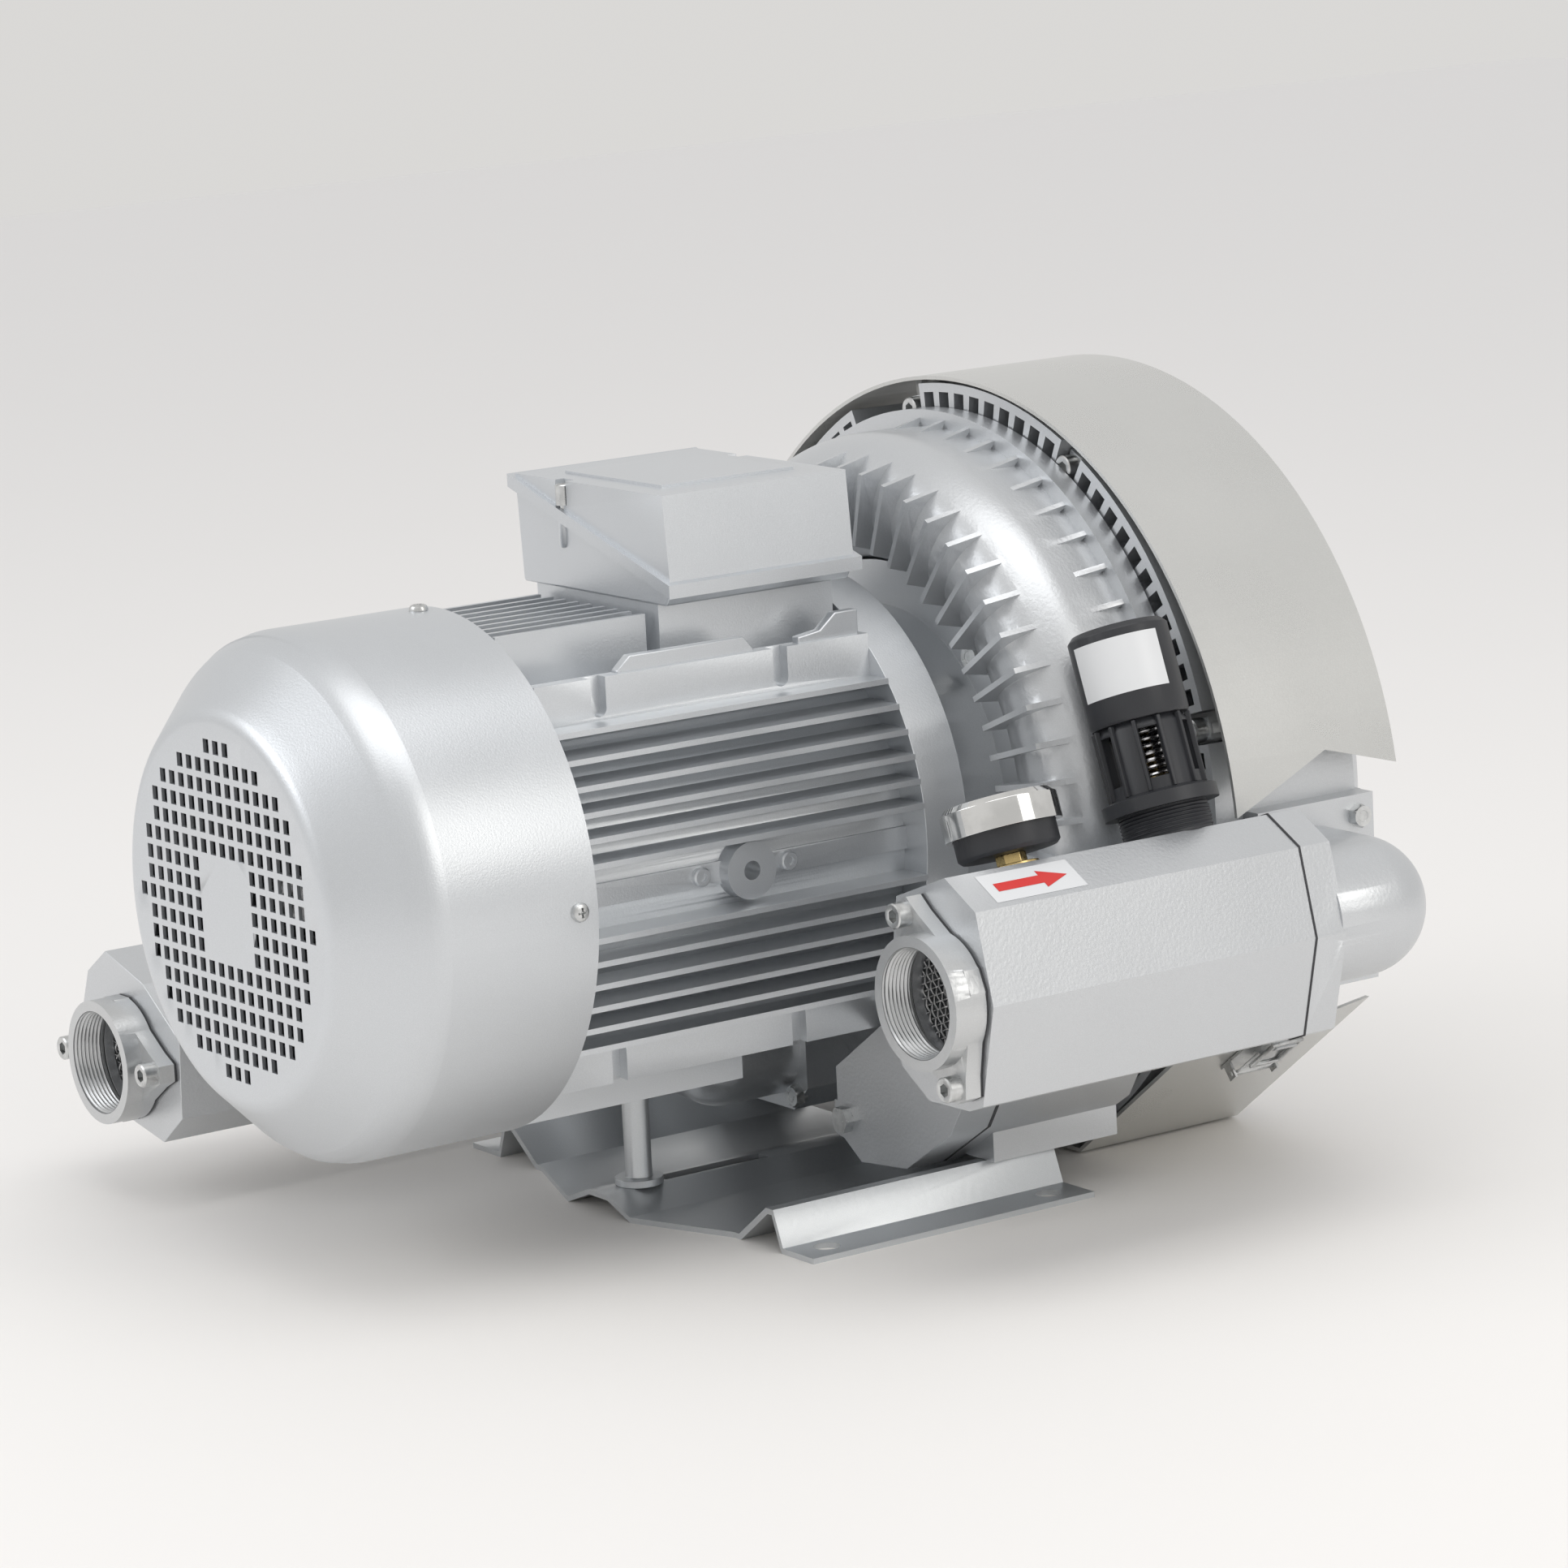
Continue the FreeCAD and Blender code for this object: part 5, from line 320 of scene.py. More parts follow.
def finished(name, width):
    """A merged copy of a solid: coplanar faces joined, smooth between its edges, a bevel of a width."""
    mesh = bpy.data.meshes.new(name + "_dressed")
    work = bmesh.new()
    work.from_mesh(NODES[name].data)
    bmesh.ops.remove_doubles(work, verts=work.verts, dist=MERGE_BELOW)
    if width:
        bmesh.ops.dissolve_limit(work, angle_limit=FLAT_BELOW, verts=work.verts, edges=work.edges)
    work.to_mesh(mesh)
    work.free()
    piece = bpy.data.objects.new(name + "_dressed", mesh)
    bpy.context.scene.collection.objects.link(piece)
    mesh.materials.clear()
    mesh.materials.append(FINISHES[SLOT_OF[name]])
    mesh.shade_smooth()
    mesh.set_sharp_from_angle(angle=SMOOTH_BELOW)
    if width:
        bevel = piece.modifiers.new("edges", "BEVEL")
        bevel.width = width * MM
        bevel.segments = 2
        bevel.limit_method = "ANGLE"
        bevel.angle_limit = ROUND_ABOVE
        bevel.use_clamp_overlap = True
        bevel.harden_normals = True
    if name in SOFT_RINGS:
        soften_rings(piece, SOFT_RINGS[name])
    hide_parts(name)
    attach(piece, BODY_OF[name])
    return piece


dressed = {name: finished(name, EDGE_WIDTHS.get(name, 0.0)) for name in sorted(NODES)}
print("dressed:", len(dressed))

# %% [markdown]
# ## Surfaces from whole arrays
# New pieces are grids: one direction goes round, the other along a profile. The whole sheet of points is
# worked out at once, and the faces join neighbours. Points that fall together, as in the middle of a screw
# head, are merged afterwards.

# %% Grid pieces
SAME_POINT = 0.000002
SMOOTH_FORMS = math.radians(35)


def cleaned(mesh, merge=0.0, fill=0):
    """Merges points nearer than a distance, fills holes of up to so many sides, turns faces outwards."""
    work = bmesh.new()
    work.from_mesh(mesh)
    if merge:
        bmesh.ops.remove_doubles(work, verts=work.verts, dist=merge)
    if fill:
        bmesh.ops.holes_fill(work, edges=work.edges, sides=fill)
    bmesh.ops.recalc_face_normals(work, faces=work.faces)
    work.to_mesh(mesh)
    work.free()


def dress(name, mesh, body, slot_name, material=None):
    """Puts a mesh in the scene with its finish, smooth between its edges, on a body."""
    piece = bpy.data.objects.new(name, mesh)
    bpy.context.scene.collection.objects.link(piece)
    mesh.materials.clear()
    mesh.materials.append(material or FINISHES[slot_name])
    mesh.shade_smooth()
    mesh.set_sharp_from_angle(angle=SMOOTH_FORMS)
    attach(piece, body)
    return piece


def grid_piece(name, points, body, slot_name, closed=True, material=None):
    """A mesh from an array of points (around, along, 3): each face joins two neighbours around and two along.
    In a closed sheet the last points around are neighbours of the first."""
    around, along = points.shape[:2]
    row = np.arange(around if closed else around - 1)[:, None]
    column = np.arange(along - 1)[None, :]
    here, after = row * along + column, (row + 1) % around * along + column
    quads = np.stack([here, after, after + 1, here + 1], axis=-1).reshape(-1, 4)
    mesh = bpy.data.meshes.new(name)
    mesh.from_pydata(points.reshape(-1, 3), [], quads)
    cleaned(mesh, merge=SAME_POINT)
    return dress(name, mesh, body, slot_name, material)


print("grids merge points nearer than", SAME_POINT / MM, "mm")

# %% [markdown]
# ## Places on the machine
# A form is worked out in millimetres round its own middle, and a matrix then puts it where the solid that
# carries it says. The right silencer leans, and the port, the gauge and the valve lean with it.

# %% Places


def placed(points, matrix):
    """Points (…, 3) in millimetres moved by a matrix in metres."""
    turn = np.array(matrix.to_3x3())
    return points * MM @ turn.T + np.array(matrix.translation)


def standing(x, y, z, lean=0.0):
    """A place on the machine, leaning to the left about the shaft's direction, with Z up."""
    return Matrix.Translation(Vector((x, y, z)) * MM) @ Matrix.Rotation(math.radians(-lean), 4, "Y")


def on_silencer(along):
    """A place on the middle line of the right silencer, leaning as the silencer does."""
    return standing(260, along, 151.3, 20)


def facing(direction, at):
    """A matrix whose Z points in a direction, at a point in millimetres."""
    turn = Vector(direction).to_track_quat("Z", "Y").to_matrix().to_4x4()
    return Matrix.Translation(Vector(at) * MM) @ turn


PORTS = {"right": on_silencer(-87), "left": standing(-219.4, -291, 76, -94)}
VALVE, GAUGE = on_silencer(90.5), on_silencer(-9)
print("ports, m:", {side: tuple(round(v, 3) for v in port.translation) for side, port in PORTS.items()})

# %% [markdown]
# ## Round forms and plates
# Most small parts are turned, so a profile spun round an axis makes them, and a row of the profile may be a
# hexagon or a cross instead of a circle. What is cut from plate is an outline pushed to a thickness.

# %% Turned forms and plates
# A cross has its full reach where the doubled angle's cosine is over the first value, either way, and the
# second value's share of it elsewhere.
CROSS_ARM, CROSS_WAIST = 0.78, 0.42


def turned_form(profile, steps=48):
    """A round form: each row of the profile (radius, height, shape) is a circle, a hexagon or a cross.
    A hexagon's radius is its flat distance over the cosine of the angle from the nearest flat."""
    angle = np.linspace(0, 2 * np.pi, steps, endpoint=False)
    flat = np.cos(((angle + np.pi / 6) % (np.pi / 3)) - np.pi / 6)
    cross = np.where(np.abs(np.cos(2 * angle)) > CROSS_ARM, 1.0, CROSS_WAIST)
    reaches = {"round": np.full(steps, 1.0), "hexagon": 1 / flat, "cross": cross}
    rows = []
    for radius, height, shape in profile:
        reach = reaches[shape] * radius
        rows.append(np.stack([reach * np.cos(angle), reach * np.sin(angle), np.full(steps, height)], axis=-1))
    return np.stack(rows, axis=1)


def plate_piece(name, outline, place, thick, slot_name, round_by=0.6, material=None):
    """A prism: the outline (x, y) at height 0, the same at a height, and a wall between neighbours."""
    flat = np.array(outline, float)
    count = len(flat)
    points = np.concatenate([np.c_[flat, np.zeros(count)], np.c_[flat, np.full(count, thick)]])
    ring = np.arange(count)
    walls = np.stack([ring, (ring + 1) % count, (ring + 1) % count + count, ring + count], -1)
    faces = [ring[::-1].tolist(), (ring + count).tolist(), *walls.tolist()]
    mesh = bpy.data.meshes.new(name)
    mesh.from_pydata(placed(points, place), [], faces)
    cleaned(mesh)
    piece = dress(name, mesh, "housing", slot_name, material)
    bevel = piece.modifiers.new("edges", "BEVEL")
    bevel.width = round_by * MM
    bevel.segments = 2
    return piece


print("a turned disc has", turned_form([(1, 0, "round"), (2, 0, "round")]).shape[:2], "points")

# %% [markdown]
# ## Screws and bolts
# A socket screw is a drum with a six-sided hole; a hexagon bolt has chamfered corners; a pan head has a
# crossed hole. All are the same turned form with other rows: radius, height over the seat, and shape. The
# rows run from the shank's end over the head and into its recess.

# %% Heads


def socket_screw(radius, height, shank, length):
    """Rows of a socket screw from its shank's end over the rim into the six-sided hole."""
    return [(0, -length, "round"), (shank - 0.6, -length, "round"), (shank, -length + 0.8, "round"),
            (shank, 0, "round"), (radius, 0, "round"), (radius, height - 0.7, "round"),
            (radius - 0.7, height, "round"), (radius * 0.62, height, "round"),
            (radius * 0.47, height - 0.3, "hexagon"), (radius * 0.47, height * 0.4, "hexagon"),
            (0, height * 0.33, "round")]


def hexagon_bolt(corner, height, shank, length):
    """Rows of a hexagon bolt whose corners are cut by a cone; a flat lies 0.866 corners from the axis."""
    flat = corner * 0.866
    return [(0, -length, "round"), (shank - 0.6, -length, "round"), (shank, -length + 0.8, "round"),
            (shank, 0, "round"), (flat, 0, "hexagon"), (flat, height * 0.72, "hexagon"),
            (flat * 0.97, height, "round"), (flat * 0.55, height, "round"),
            (flat * 0.5, height - 0.25, "round"), (0, height - 0.25, "round")]


def pan_screw(radius, height, shank, length):
    """Rows of a pan head with a crossed hole."""
    return [(0, -length, "round"), (shank, -length, "round"), (shank, 0, "round"), (radius, 0, "round"),
            (radius, height * 0.35, "round"), (radius * 0.85, height * 0.8, "round"),
            (radius * 0.6, height, "round"), (radius * 0.52, height, "cross"),
            (radius * 0.30, height * 0.3, "cross"), (0, height * 0.25, "round")]


print("rows of a socket screw:", len(socket_screw(6.5, 8, 4, 20)))

# %% [markdown]
# ## Where the screws sit
# The casing's screws sit in lugs round the ring, the flange bolts round the motor's end, the cover's screws
# at its rim and the lid's screws in two grooves. They stand where the heads of the plain solids are and
# replace them.

# %% Screws of the casing, the flange, the cover and the lid
TO_FAN = (0, -1, 0)


def screw_set(name, replaced, profile, places):
    """A screw at each place (point in mm, direction of the head); the first replaces a plain solid."""
    form = turned_form(profile)
    pieces = [grid_piece(f"{name}_{index}", placed(form, facing(direction, point)), "housing", "zinc")
              for index, (point, direction) in enumerate(places)]
    if replaced:
        bpy.data.objects.remove(dressed.pop(replaced))
        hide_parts(replaced)
    print(name, len(pieces))


def round_shaft(radius, along, degrees, head=None):
    """Places of screws round the shaft: x = radius * cos, z = shaft + radius * sin of each angle. The head
    points in one direction, or away from the shaft where none is given."""
    return [((radius * math.cos(angle), along, SHAFT_Z + radius * math.sin(angle)),
             head or (math.cos(angle), 0, math.sin(angle))) for angle in np.radians(degrees)]


screw_set("casing_screw", "casing_screws", socket_screw(6.5, 8, 4, 20),
          round_shaft(203, 148.5, [13.7, 61.3, 101, 160, 206.7, -36.4], TO_FAN))
screw_set("flange_bolt", "flange_bolts", hexagon_bolt(7.5, 5.3, 4, 13),
          round_shaft(116, 90, [45, 135, 180, 0, -30, 210], TO_FAN))
screw_set("cover_screw", "fan_cover_screws", pan_screw(5, 3, 2.5, 11.5),
          round_shaft(137.5, -201, [0, 90, 180, 270]))

# The joint between box and lid rises to the left; the heads stand on its lip, at the groove's left side.
LID_FRONT, LID_BACK, LID_SCREW_X, LID_SCREW_INSET = -95, 20, -26, 1.2
JOINT_LOW, JOINT_SLOPE, JOINT_RIGHT, GROOVE_HALF, LIP_HEIGHT = 336, 0.3, 74, 5, 7
LID_FOOT = JOINT_LOW + JOINT_SLOPE * (JOINT_RIGHT - (LID_SCREW_X - GROOVE_HALF)) + LIP_HEIGHT
screw_set("lid_screw", "terminal_lid_screws", socket_screw(4, 11, 2, 7),
          [((LID_SCREW_X, y, LID_FOOT), (0, 0, 1))
           for y in (LID_FRONT + LID_SCREW_INSET, LID_BACK - LID_SCREW_INSET)])

# %% [markdown]
# ## Bolts of the duct and the elbow
# The left duct and the right elbow are bolted on with flanges, one bolt near each corner. The plain solids
# leave these bolts out, so they are added here and replace nothing.

# %% Bolts of the left duct and of the elbow
SMALL_BOLT = hexagon_bolt(6.5, 5, 4, 4)
DUCT_X, DUCT_Y, DUCT_Z, DUCT_REACH = -40, 28, 60, 25
screw_set("duct_bolt", None, SMALL_BOLT,
          [((DUCT_X + side * DUCT_REACH, DUCT_Y, DUCT_Z + up * DUCT_REACH), TO_FAN)
           for side in (1, -1) for up in (1, -1)])
ELBOW_X = 228
screw_set("elbow_bolt", None, SMALL_BOLT,
          [((ELBOW_X, y, z), (1, 0, 0)) for y in (170, 226) for z in (115, 193)])

# %% [markdown]
# ## The ports
# Each port is a threaded ring with a woven mesh behind it. The thread is a ridge that winds along the
# bore, so one number, the angle, gives both the turn and the step forward. The mesh is two families of wires
# that pass over and under each other, so each wire is a sine with its neighbour half a wave later.

# %% Threads
THREAD = {"minor": 28.2, "depth": 1.0, "pitch": 2.31, "length": 18.0}


def thread_points(minor, depth, pitch, length, steps=96):
    """Radius = minor - depth * a rounded saw of (along / pitch - angle / full turn); angle goes round the
    bore, and the ridge fades out over one pitch at both ends."""
    angle = np.linspace(0, 2 * np.pi, steps, endpoint=False)[:, None]
    along = np.linspace(0, length, int(length / pitch * 8) + 1)[None, :]
    phase = along / pitch - angle / (2 * np.pi)
    radius = minor - depth * (0.5 + 0.5 * np.cos(2 * np.pi * phase))
    fade = np.clip(np.minimum(along, length - along) / pitch, 0, 1)
    radius = minor - (minor - radius) * fade
    return np.stack([radius * np.cos(angle) * np.ones_like(along), along * np.ones_like(angle),
                     radius * np.sin(angle) * np.ones_like(along)], axis=-1)


print("turns of a port's thread:", round(THREAD["length"] / THREAD["pitch"], 1))

# %% [markdown]
# ## The woven mesh
# A wire is a thin tube along a sine, with six points round it. All wires of both families become one mesh,
# whose open tube ends are filled.

# %% Wires, and one mesh from many tubes
MESH = {"radius": 30.4, "pitch": 3.6, "wire": 0.50}
MESH_BEHIND = 26.7
TUBE_SIDES = 6


def mesh_points(radius, pitch, wire, across):
    """Wires side by side: height = wire radius * sin(pi * way / pitch), each half a wave from the next."""
    count = int(radius / pitch)
    sheets = []
    ring = np.linspace(0, 2 * np.pi, TUBE_SIDES, endpoint=False)
    circle = np.stack([np.cos(ring), np.sin(ring)], axis=-1) * wire
    for index in range(-count, count + 1):
        aside = index * pitch
        half = math.sqrt(max(radius * radius - aside * aside, 0))
        way = np.linspace(-half, half, max(int(half / pitch * 6), 4))
        lift = wire * np.sin(np.pi * (way / pitch + 0.5) + np.pi * index) * (1 if across else -1)
        x = way[:, None] + 0 * circle[None, :, 0]
        z = aside + circle[None, :, 0] + 0 * way[:, None]
        y = lift[:, None] + circle[None, :, 1]
        sheets.append(np.stack([x, y, z] if across else [z, y, x], axis=-1))
    return sheets


def many_sheets(name, sheets, body, slot_name):
    """One mesh from several grids that are closed round their columns, their open ends filled."""
    points, quads, start = [], [], 0
    for sheet in sheets:
        rows, columns = sheet.shape[:2]
        row, column = np.arange(rows - 1)[:, None], np.arange(columns)[None, :]
        after = (column + 1) % columns
        quads.append(start + np.stack([row * columns + column, (row + 1) * columns + column,
                                       (row + 1) * columns + after, row * columns + after],
                                      axis=-1).reshape(-1, 4))
        points.append(sheet.reshape(-1, 3))
        start += rows * columns
    mesh = bpy.data.meshes.new(name)
    mesh.from_pydata(np.concatenate(points), [], np.concatenate(quads))
    cleaned(mesh, fill=TUBE_SIDES + 2)
    return dress(name, mesh, body, slot_name)


for side, port in PORTS.items():
    thread = placed(thread_points(**THREAD), port)
    grid_piece(f"{side}_port_thread", thread, "housing", "port_casting")
    wires = mesh_points(**MESH, across=True) + mesh_points(**MESH, across=False)
    lifted = [placed(sheet + np.array([0, MESH_BEHIND, 0]), port) for sheet in wires]
    woven = many_sheets(f"{side}_woven_mesh", lifted, "housing", "mesh")
    bpy.data.objects.remove(dressed.pop(f"{side}_mesh"))
    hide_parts(f"{side}_mesh")
print("ports:", list(PORTS))

# %% [markdown]
# ## Seams of the silencers
# A silencer is closed by a plate with a thin dark gasket, which shows as a line round its end. It has the
# silencer's own outline, a little larger, and is a plate of its own.

# %% Seams between the silencers and their plates
# The silencer's outline (x, z) in millimetres, round the middle of its port.
SECTION = [(22, 56), (-22, 56), (-44.8, 17.4), (-53.8, -25), (-37.9, -46), (-6, -57), (6, -57), (35.5, -12),
           (40.3, 34.8)]
SEAM_GROWTH, SEAM_FROM_PORT, SEAM_THICK = 1.012, 224.4, 1.2
# Turns a plate so that its height runs along the silencer.
STOOD_UP = Matrix(((1, 0, 0, 0), (0, 0, 1, 0), (0, 1, 0, 0), (0, 0, 0, 1)))
rim = [(x * SEAM_GROWTH, z * SEAM_GROWTH) for x, z in SECTION]
for side, port in PORTS.items():
    seam_place = port @ Matrix.Translation((0, SEAM_FROM_PORT * MM, 0)) @ STOOD_UP
    plate_piece(f"{side}_seam", rim, seam_place, SEAM_THICK, "gasket", 0.2)
print("seams:", len(PORTS))

# %% [markdown]
# ## The relief valve
# The valve's body is screwed into the silencer, and its thread stands out below the cage. The same formula
# as for the ports gives it, with a depth below zero, because this ridge points outwards. The cage has ribs
# all round, made as one plate that is turned from place to place.

# %% Thread and ribs of the valve
VALVE_THREAD = {"minor": 23.0, "depth": -0.7, "pitch": 1.9, "length": 14.6}
VALVE_THREAD_FOOT = 56.2
spiral = thread_points(**VALVE_THREAD)[..., [0, 2, 1]] + np.array([0, 0, VALVE_THREAD_FOOT])
grid_piece("valve_thread", placed(spiral, VALVE), "housing", "black_plastic")

RIBS, FIRST_RIB, RIB_FOOT, RIB_HEIGHT = 12, 15, 79.5, 37
RIB_OUTLINE = [(23.2, -1.3), (26, -0.9), (26, 0.9), (23.2, 1.3)]
for index in range(RIBS):
    turn = Matrix.Rotation(math.radians(FIRST_RIB + 360 // RIBS * index), 4, "Z")
    stand = VALVE @ turn @ Matrix.Translation((0, 0, RIB_FOOT * MM))
    plate_piece(f"valve_rib_{index}", RIB_OUTLINE, stand, RIB_HEIGHT, "black_plastic", 0.4)
print("ribs of the valve:", RIBS)

# %% [markdown]
# ## The valve's label
# A white label goes part of the way round the cap. It is left bare here. A sheet with one radius, bent over
# some degrees, lies just above the cap, and its vinyl is slightly cloudy.

# %% Bare label of the valve
LABEL_RADIUS = 26.35
label_turn = np.radians(np.linspace(-100, 10, 40))[:, None]
label_high = np.linspace(131, 160, 6)[None, :]
label_rows = np.stack([LABEL_RADIUS * np.cos(label_turn) + 0 * label_high,
                       LABEL_RADIUS * np.sin(label_turn) + 0 * label_high,
                       label_high + 0 * label_turn], axis=-1)
vinyl = Finish("white_vinyl", (0.70, 0.70, 0.69), 0.35)
vinyl.feed("Base Color", vinyl.blend(vinyl.shade(0.96), vinyl.shade(1.02), vinyl.noise(40.0)))
grid_piece("valve_label", placed(label_rows, VALVE), "housing", None, closed=False, material=vinyl.material)
print("label points:", label_rows.shape[:2])

# %% [markdown]
# ## Screws of the ports
# Two socket screws hold each port flange, on either side of its bore. Their places are worked out round the
# port's middle and then turned with the port.

# %% Screws of the ports
SCREW_REACH, SCREW_BEARING, SCREW_SEAT = 44.8, math.radians(94), 9.5
port_places = []
for port in PORTS.values():
    for sign in (1, -1):
        spot = Vector((sign * SCREW_REACH * math.cos(SCREW_BEARING), SCREW_SEAT,
                       sign * SCREW_REACH * math.sin(SCREW_BEARING))) * MM
        port_places.append((tuple((port @ spot) / MM), TO_FAN))
screw_set("port_screw", "port_screws", socket_screw(6.5, 8, 4, 18), port_places)

# %% [markdown]
# ## The gauge's dial
# The dial is a pale disc under the glass. Its ink is dark and nearly dull, so both get a finish of their own
# that no solid has.

# %% Dial
DIAL_HEIGHT = 86.05
INK_HEIGHT = DIAL_HEIGHT + 0.06
card = Finish("dial_card", (0.86, 0.86, 0.84), 0.5)
card.feed("Base Color", card.blend(card.shade(0.97), card.shade(1.03), card.noise(60.0)))
print_ink = Finish("dial_ink", (0.02, 0.02, 0.02), 0.55)
print_ink.feed("Roughness", print_ink.noise(300.0) * 0.1 + 0.5)
disc = turned_form([(radius, DIAL_HEIGHT, "round") for radius in (27.4, 13.7, 1.2)], 64)
grid_piece("dial_card", placed(disc, GAUGE), "housing", None, material=card.material)
print("dial points:", disc.shape[:2])

# %% [markdown]
# ## Ticks and numbers
# Ticks are thin bars on a fan of angles, and every fifth is longer and wider. They are made as one mesh from
# arrays of corners. The numbers are text turned to a mesh before it is placed.

# %% Ticks and numbers
TICKS, LONG_EVERY, TICK_OUTER = 41, 5, 24.6
START_ANGLE, SWEEP, LAST_VALUE = 225, 270, 8
NUMBER_RADIUS, NUMBER_SIZE = 16.4, 4.6
tick_angles = np.radians(np.linspace(START_ANGLE, START_ANGLE - SWEEP, TICKS))
long_tick = (np.arange(TICKS) % LONG_EVERY == 0).astype(float)
inner = (22.6 - 2.6 * long_tick)[:, None]
half = (0.16 + 0.12 * long_tick)[:, None]
radial = np.stack([np.cos(tick_angles), np.sin(tick_angles)], -1)
tangent = np.stack([-np.sin(tick_angles), np.cos(tick_angles)], -1)
corners = np.stack([radial * inner - tangent * half, radial * TICK_OUTER - tangent * half,
                    radial * TICK_OUTER + tangent * half, radial * inner + tangent * half], 1)
flat_ticks = np.concatenate([corners, np.full((TICKS, 4, 1), INK_HEIGHT)], -1)
tick_mesh = bpy.data.meshes.new("dial_ticks")
tick_mesh.from_pydata(placed(flat_ticks.reshape(-1, 3), GAUGE), [], np.arange(TICKS * 4).reshape(-1, 4))
dress("dial_ticks", tick_mesh, "housing", None, print_ink.material)


def number_mesh(name, text):
    """A mesh of centred writing, one unit to the millimetre."""
    writing = bpy.data.curves.new(name, "FONT")
    writing.body = text
    writing.align_x, writing.align_y = "CENTER", "CENTER"
    writing.size = NUMBER_SIZE
    holder = bpy.data.objects.new("number_holder", writing)
    bpy.context.scene.collection.objects.link(holder)
    bpy.context.view_layer.update()
    flat = bpy.data.meshes.new_from_object(holder.evaluated_get(bpy.context.evaluated_depsgraph_get()))
    bpy.data.objects.remove(holder)
    return flat


for value in range(0, LAST_VALUE + 1, 2):
    number = number_mesh(f"dial_number_{value}", str(value))
    angle = math.radians(START_ANGLE - value / LAST_VALUE * SWEEP)
    spot = Vector((NUMBER_RADIUS * math.cos(angle), NUMBER_RADIUS * math.sin(angle), INK_HEIGHT))
    number.transform(GAUGE @ Matrix.Translation(spot * MM) @ Matrix.Scale(MM, 4))
    dress(f"dial_number_{value}", number, "housing", None, print_ink.material)
print("ticks:", TICKS)

# %% [markdown]
# ## Cast details on the motor and the terminal box
# Between the notches of each upper pad the casting steps up to a second plate with slanted ends. Small
# bosses stand beside the lifting boss, and at the same place on the left, which the photo doesn't show.
# Others stand under the lid screws. Each plate is an outline pushed to a thickness; its edges are rounded by
# a bevel as the solids' are.

# %% Plates and bosses
PAD_MIDDLE, PAD_THICK = 80, 6
# Outlines (along the shaft, height over the shaft) of the two plates.
PAD_STEP = [(-136, 98), (-52, 98), (-52, 106), (-58, 113), (-128, 113), (-136, 106)]
PAD_END = [(-24, 98), (14, 98), (14, 118), (0, 118), (-10, 110), (-24, 108)]
BOSS_FACE, BUMP_FOOT, BUMP_INSET = 112, 367.4, 0.6
# Turns a plate so that its x runs along the shaft, its y up, and its height to the right.
ALONG_SHAFT = Matrix(((0, 0, 1, 0), (1, 0, 0, 0), (0, 1, 0, 0), (0, 0, 0, 1)))


def boss_rows(radius, height):
    """Rows of a small boss with a rounded rim and a shallow dimple."""
    return [(0, -4, "round"), (radius, -4, "round"), (radius, height - 0.8, "round"),
            (radius - 0.8, height, "round"), (radius * 0.45, height, "round"),
            (radius * 0.38, height - 1.2, "round"), (0, height - 1.4, "round")]


for name, side in (("right", 1), ("left", -1)):
    pad_corner = Vector((side * PAD_MIDDLE - PAD_THICK / 2, 0, SHAFT_Z)) * MM
    step_place = Matrix.Translation(pad_corner) @ ALONG_SHAFT
    plate_piece(f"{name}_pad_step", PAD_STEP, step_place, PAD_THICK, "motor_paint")
    plate_piece(f"{name}_pad_end", PAD_END, step_place, PAD_THICK, "motor_paint")
    for index, y in enumerate((-112, -58)):
        boss_place = facing((side, 0, 0), (side * BOSS_FACE, y, SHAFT_Z))
        grid_piece(f"{name}_small_boss_{index}", placed(turned_form(boss_rows(5, 3.5), 32), boss_place),
                   "housing", "motor_paint")
BUMP = [(0, 0, "round"), (3.2, 0, "round"), (3.2, 13, "round"), (2.4, 15.2, "round"), (0, 16, "round")]
for name, y in (("front", LID_FRONT + BUMP_INSET), ("back", LID_BACK - BUMP_INSET)):
    bump_place = facing((0, 0, -1), (LID_SCREW_X, y, BUMP_FOOT))
    grid_piece(f"{name}_box_bump", placed(turned_form(BUMP, 32), bump_place), "housing", "motor_paint")
print("cast details on both sides")

# %% [markdown]
# ## The sticker
# A white sticker with a red arrow lies on the sloped shoulder of the right silencer and shows the way of
# the air. It is cut square, so a thin sheet and an arrow outline just above it are enough.

# %% Sticker with an arrow
STICKER_LIFT, PRINT_LIFT = 0.12, 0.24
STICKER = [(36, 3.5), (92, 3.5), (92, 24.5), (36, 24.5)]
ARROW = [(42, 11), (70, 11), (70, 7.5), (86, 14), (70, 20.5), (70, 17), (42, 17)]
red = Finish("red_print", (0.62, 0.03, 0.025), 0.4)
red.feed("Roughness", red.noise(200.0) * 0.12 + 0.34)
facet_low, facet_high = np.array(SECTION[-1], float), np.array(SECTION[0], float)
facet_way = (facet_high - facet_low) / np.linalg.norm(facet_high - facet_low)
facet_out = np.array([facet_way[1], -facet_way[0]])


def on_facet(outline, lift):
    """Points (along the silencer, up the facet) laid on the facet, a lift above it."""
    outline = np.array(outline, float)
    flat = facet_low + outline[:, 1:] * facet_way + facet_out * lift
    return placed(np.stack([flat[:, 0], outline[:, 0], flat[:, 1]], -1), PORTS["right"])


def patch(name, outline, lift, material):
    """A flat piece with an outline on the facet."""
    mesh = bpy.data.meshes.new(name)
    mesh.from_pydata(on_facet(outline, lift), [], [list(range(len(outline)))])
    dress(name, mesh, "housing", None, material)


patch("arrow_sticker", STICKER, STICKER_LIFT, vinyl.material)
patch("arrow_print", ARROW, PRINT_LIFT, red.material)
print("sticker with an arrow of", len(ARROW), "points")

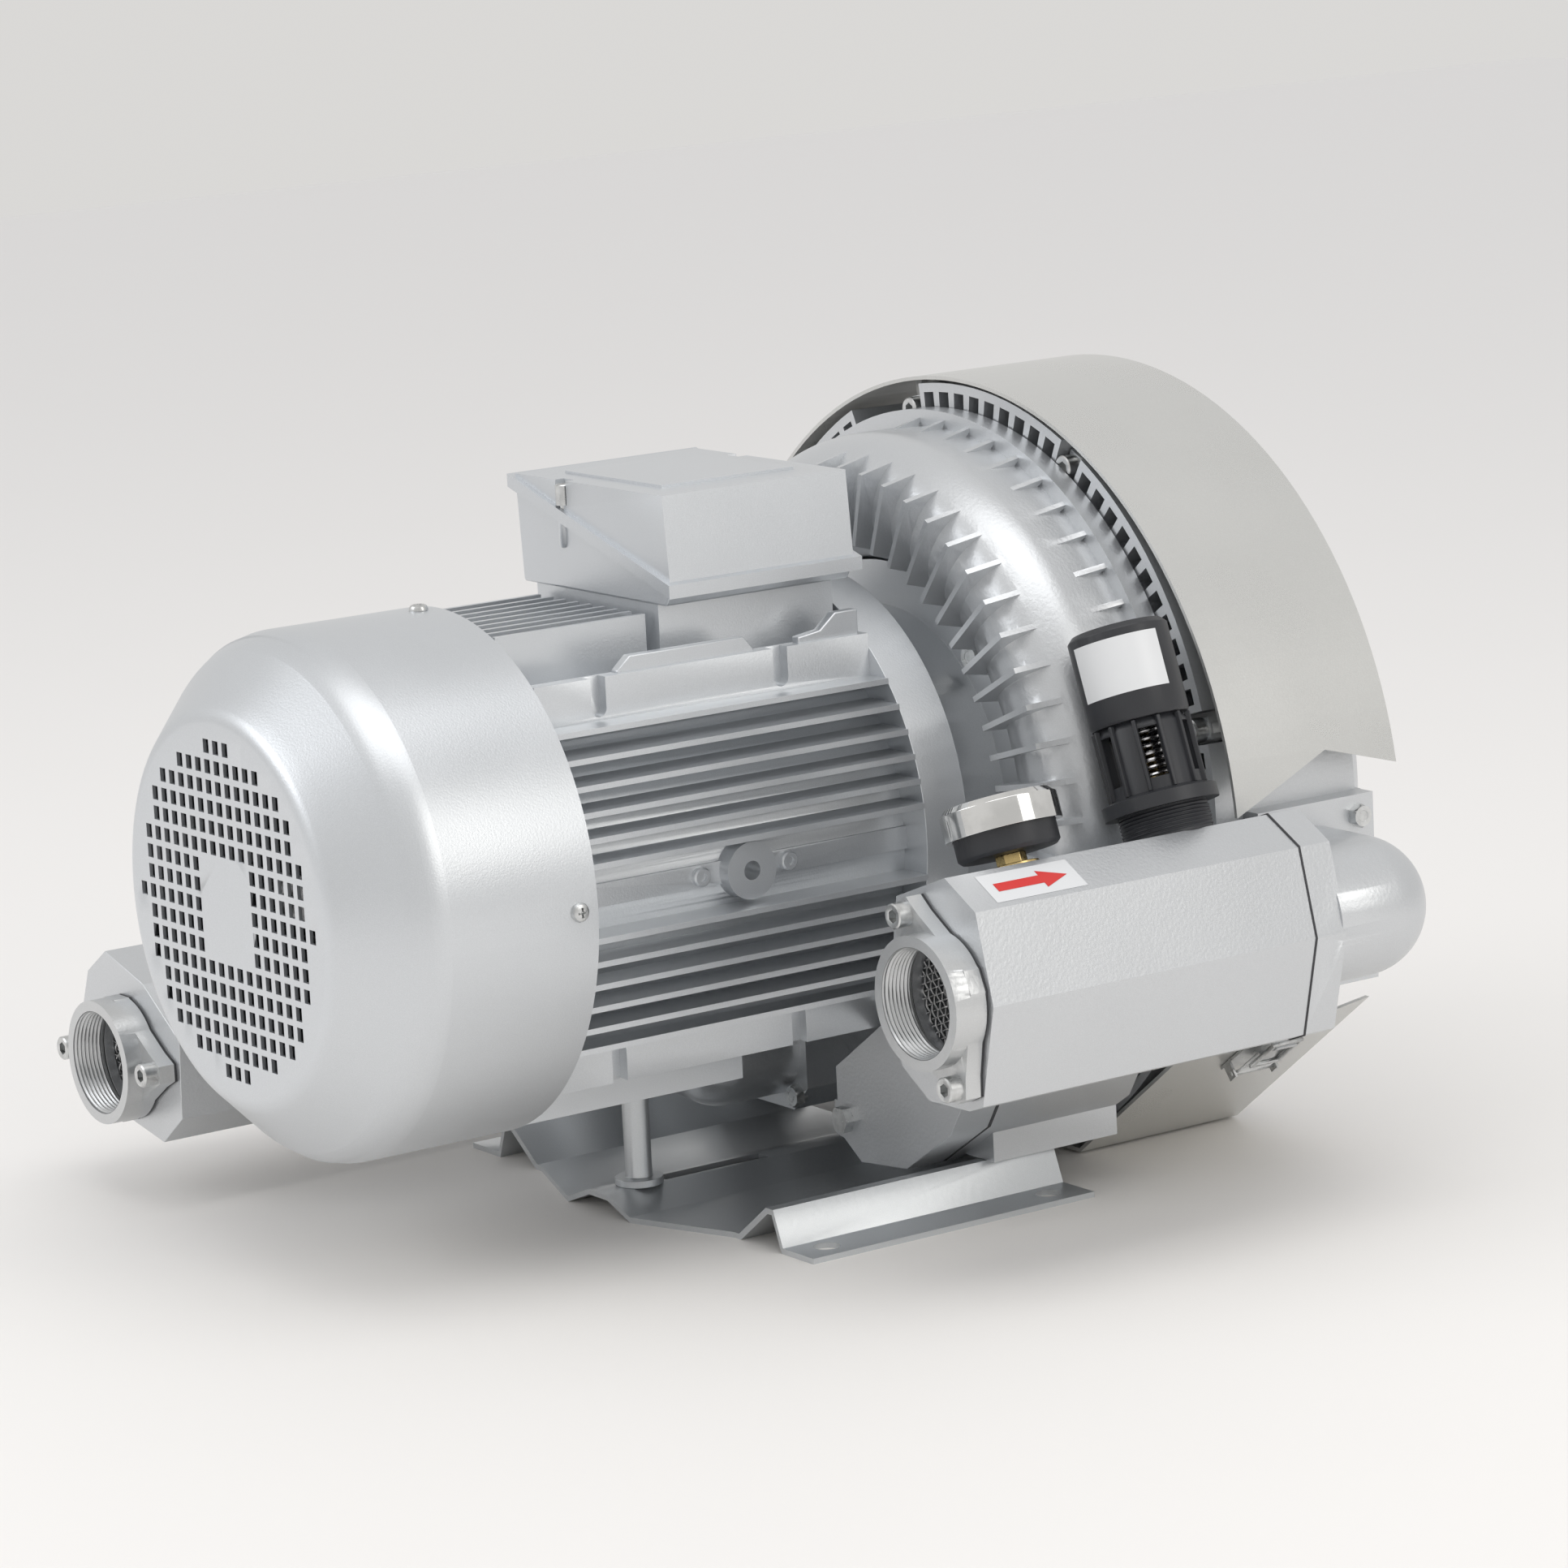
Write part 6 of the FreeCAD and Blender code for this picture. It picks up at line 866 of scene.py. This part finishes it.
# %% [markdown]
# ## The floor
# The machine stands on a pale table. The table is dull and slightly uneven, so it takes a soft shadow and
# no clear reflection.

# %% Floor
FLOOR_HALF = 6
floor_corners = [(x * FLOOR_HALF, y * FLOOR_HALF, 0) for x, y in ((-1, -1), (1, -1), (1, 1), (-1, 1))]
floor_mesh = bpy.data.meshes.new("floor")
floor_mesh.from_pydata(floor_corners, [], [(0, 1, 2, 3)])
floor = bpy.data.objects.new("floor", floor_mesh)
bpy.context.scene.collection.objects.link(floor)
ground = Finish("pale_table", (0.83, 0.80, 0.755), 0.65)
ground.feed("Roughness", ground.noise(4.0) * 0.1 + 0.55)
floor_mesh.materials.append(ground.material)
print("floor, m:", 2 * FLOOR_HALF)

# %% [markdown]
# ## The room
# A cool, bright sky lights the machine from all sides. What the camera, the reflections and the glass see of
# the room is a darker and warmer grey, which gives the paint its tone: a light path node tells these rays
# from the others.

# %% Light of the room
world = bpy.data.worlds.new("room")
bpy.context.scene.world = world
world.use_nodes = True
nodes, links = world.node_tree.nodes, world.node_tree.links
background = nodes["Background"]
background.inputs["Color"].default_value = (0.93, 0.95, 1.0, 1)
background.inputs["Strength"].default_value = 0.90
shown = nodes.new("ShaderNodeBackground")
shown.inputs["Color"].default_value = (0.70, 0.69, 0.675, 1)
shown.inputs["Strength"].default_value = 1.0
ray = nodes.new("ShaderNodeLightPath")
seen = ray.outputs["Is Camera Ray"]
for kind in ("Is Glossy Ray", "Is Transmission Ray"):
    either = nodes.new("ShaderNodeMath")
    links.new(seen, either.inputs[0])
    links.new(ray.outputs[kind], either.inputs[1])
    seen = either.outputs[0]
choice = nodes.new("ShaderNodeMixShader")
links.new(seen, choice.inputs[0])
links.new(background.outputs[0], choice.inputs[1])
links.new(shown.outputs[0], choice.inputs[2])
links.new(choice.outputs[0], nodes["World Output"].inputs[0])
print("world:", world.name)

# %% [markdown]
# ## Lamps
# Big soft lamps stand for two windows and a bright ceiling. Their size gives the long, soft highlights on
# the paint, and a little colour sets the left side cool and the right side warm.

# %% Lamps


def lamp(name, place, aim, size, power, color=(1, 1, 1)):
    """A soft rectangular lamp at a place that looks at a point."""
    data = bpy.data.lights.new(name, "AREA")
    data.shape = "RECTANGLE"
    data.size, data.size_y = size
    data.energy = power
    data.color = color
    item = bpy.data.objects.new(name, data)
    item.location = place
    item.rotation_euler = (Vector(aim) - Vector(place)).to_track_quat("-Z", "Y").to_euler()
    bpy.context.scene.collection.objects.link(item)
    print(name, power, "W")


lamp("window_left", (-1.2, -2.6, 1.9), (0, 0, 0.2), (2.0, 1.4), 19, (0.95, 0.97, 1.0))
lamp("ceiling", (0.6, -0.2, 2.6), (0, 0, 0.2), (2.4, 1.6), 17)
lamp("window_right", (2.6, 0.8, 1.5), (0, 0.05, 0.2), (1.2, 1.6), 12, (1.0, 0.98, 0.94))

# %% [markdown]
# ## The camera
# The camera stands three metres off with a long lens, to the right of the fan cover and above it. Its place
# and turn were solved from points of the fan cover, the casing's ring and the base.

# %% Camera
camera_data = bpy.data.cameras.new("camera")
camera_data.sensor_width = 36
camera_data.lens = 128.85
camera_data.clip_start, camera_data.clip_end = 0.05, 50
camera = bpy.data.objects.new("camera", camera_data)
right, up, back = (0.5696, 0.8203, -0.0510), (-0.1276, 0.1495, 0.9805), (0.812, -0.552, 0.1899)
view = Matrix((right, up, back)).transposed().to_4x4()
camera.matrix_world = Matrix.Translation((2.4452, -1.6435, 0.7832)) @ view
bpy.context.scene.collection.objects.link(camera)
bpy.context.scene.camera = camera
bpy.context.scene.view_settings.view_transform = "Standard"
print("lens, mm:", round(camera_data.lens, 2))

# %% [markdown]
# ## The end
# The view layer is brought up to date.

# %% The end
bpy.context.view_layer.update()
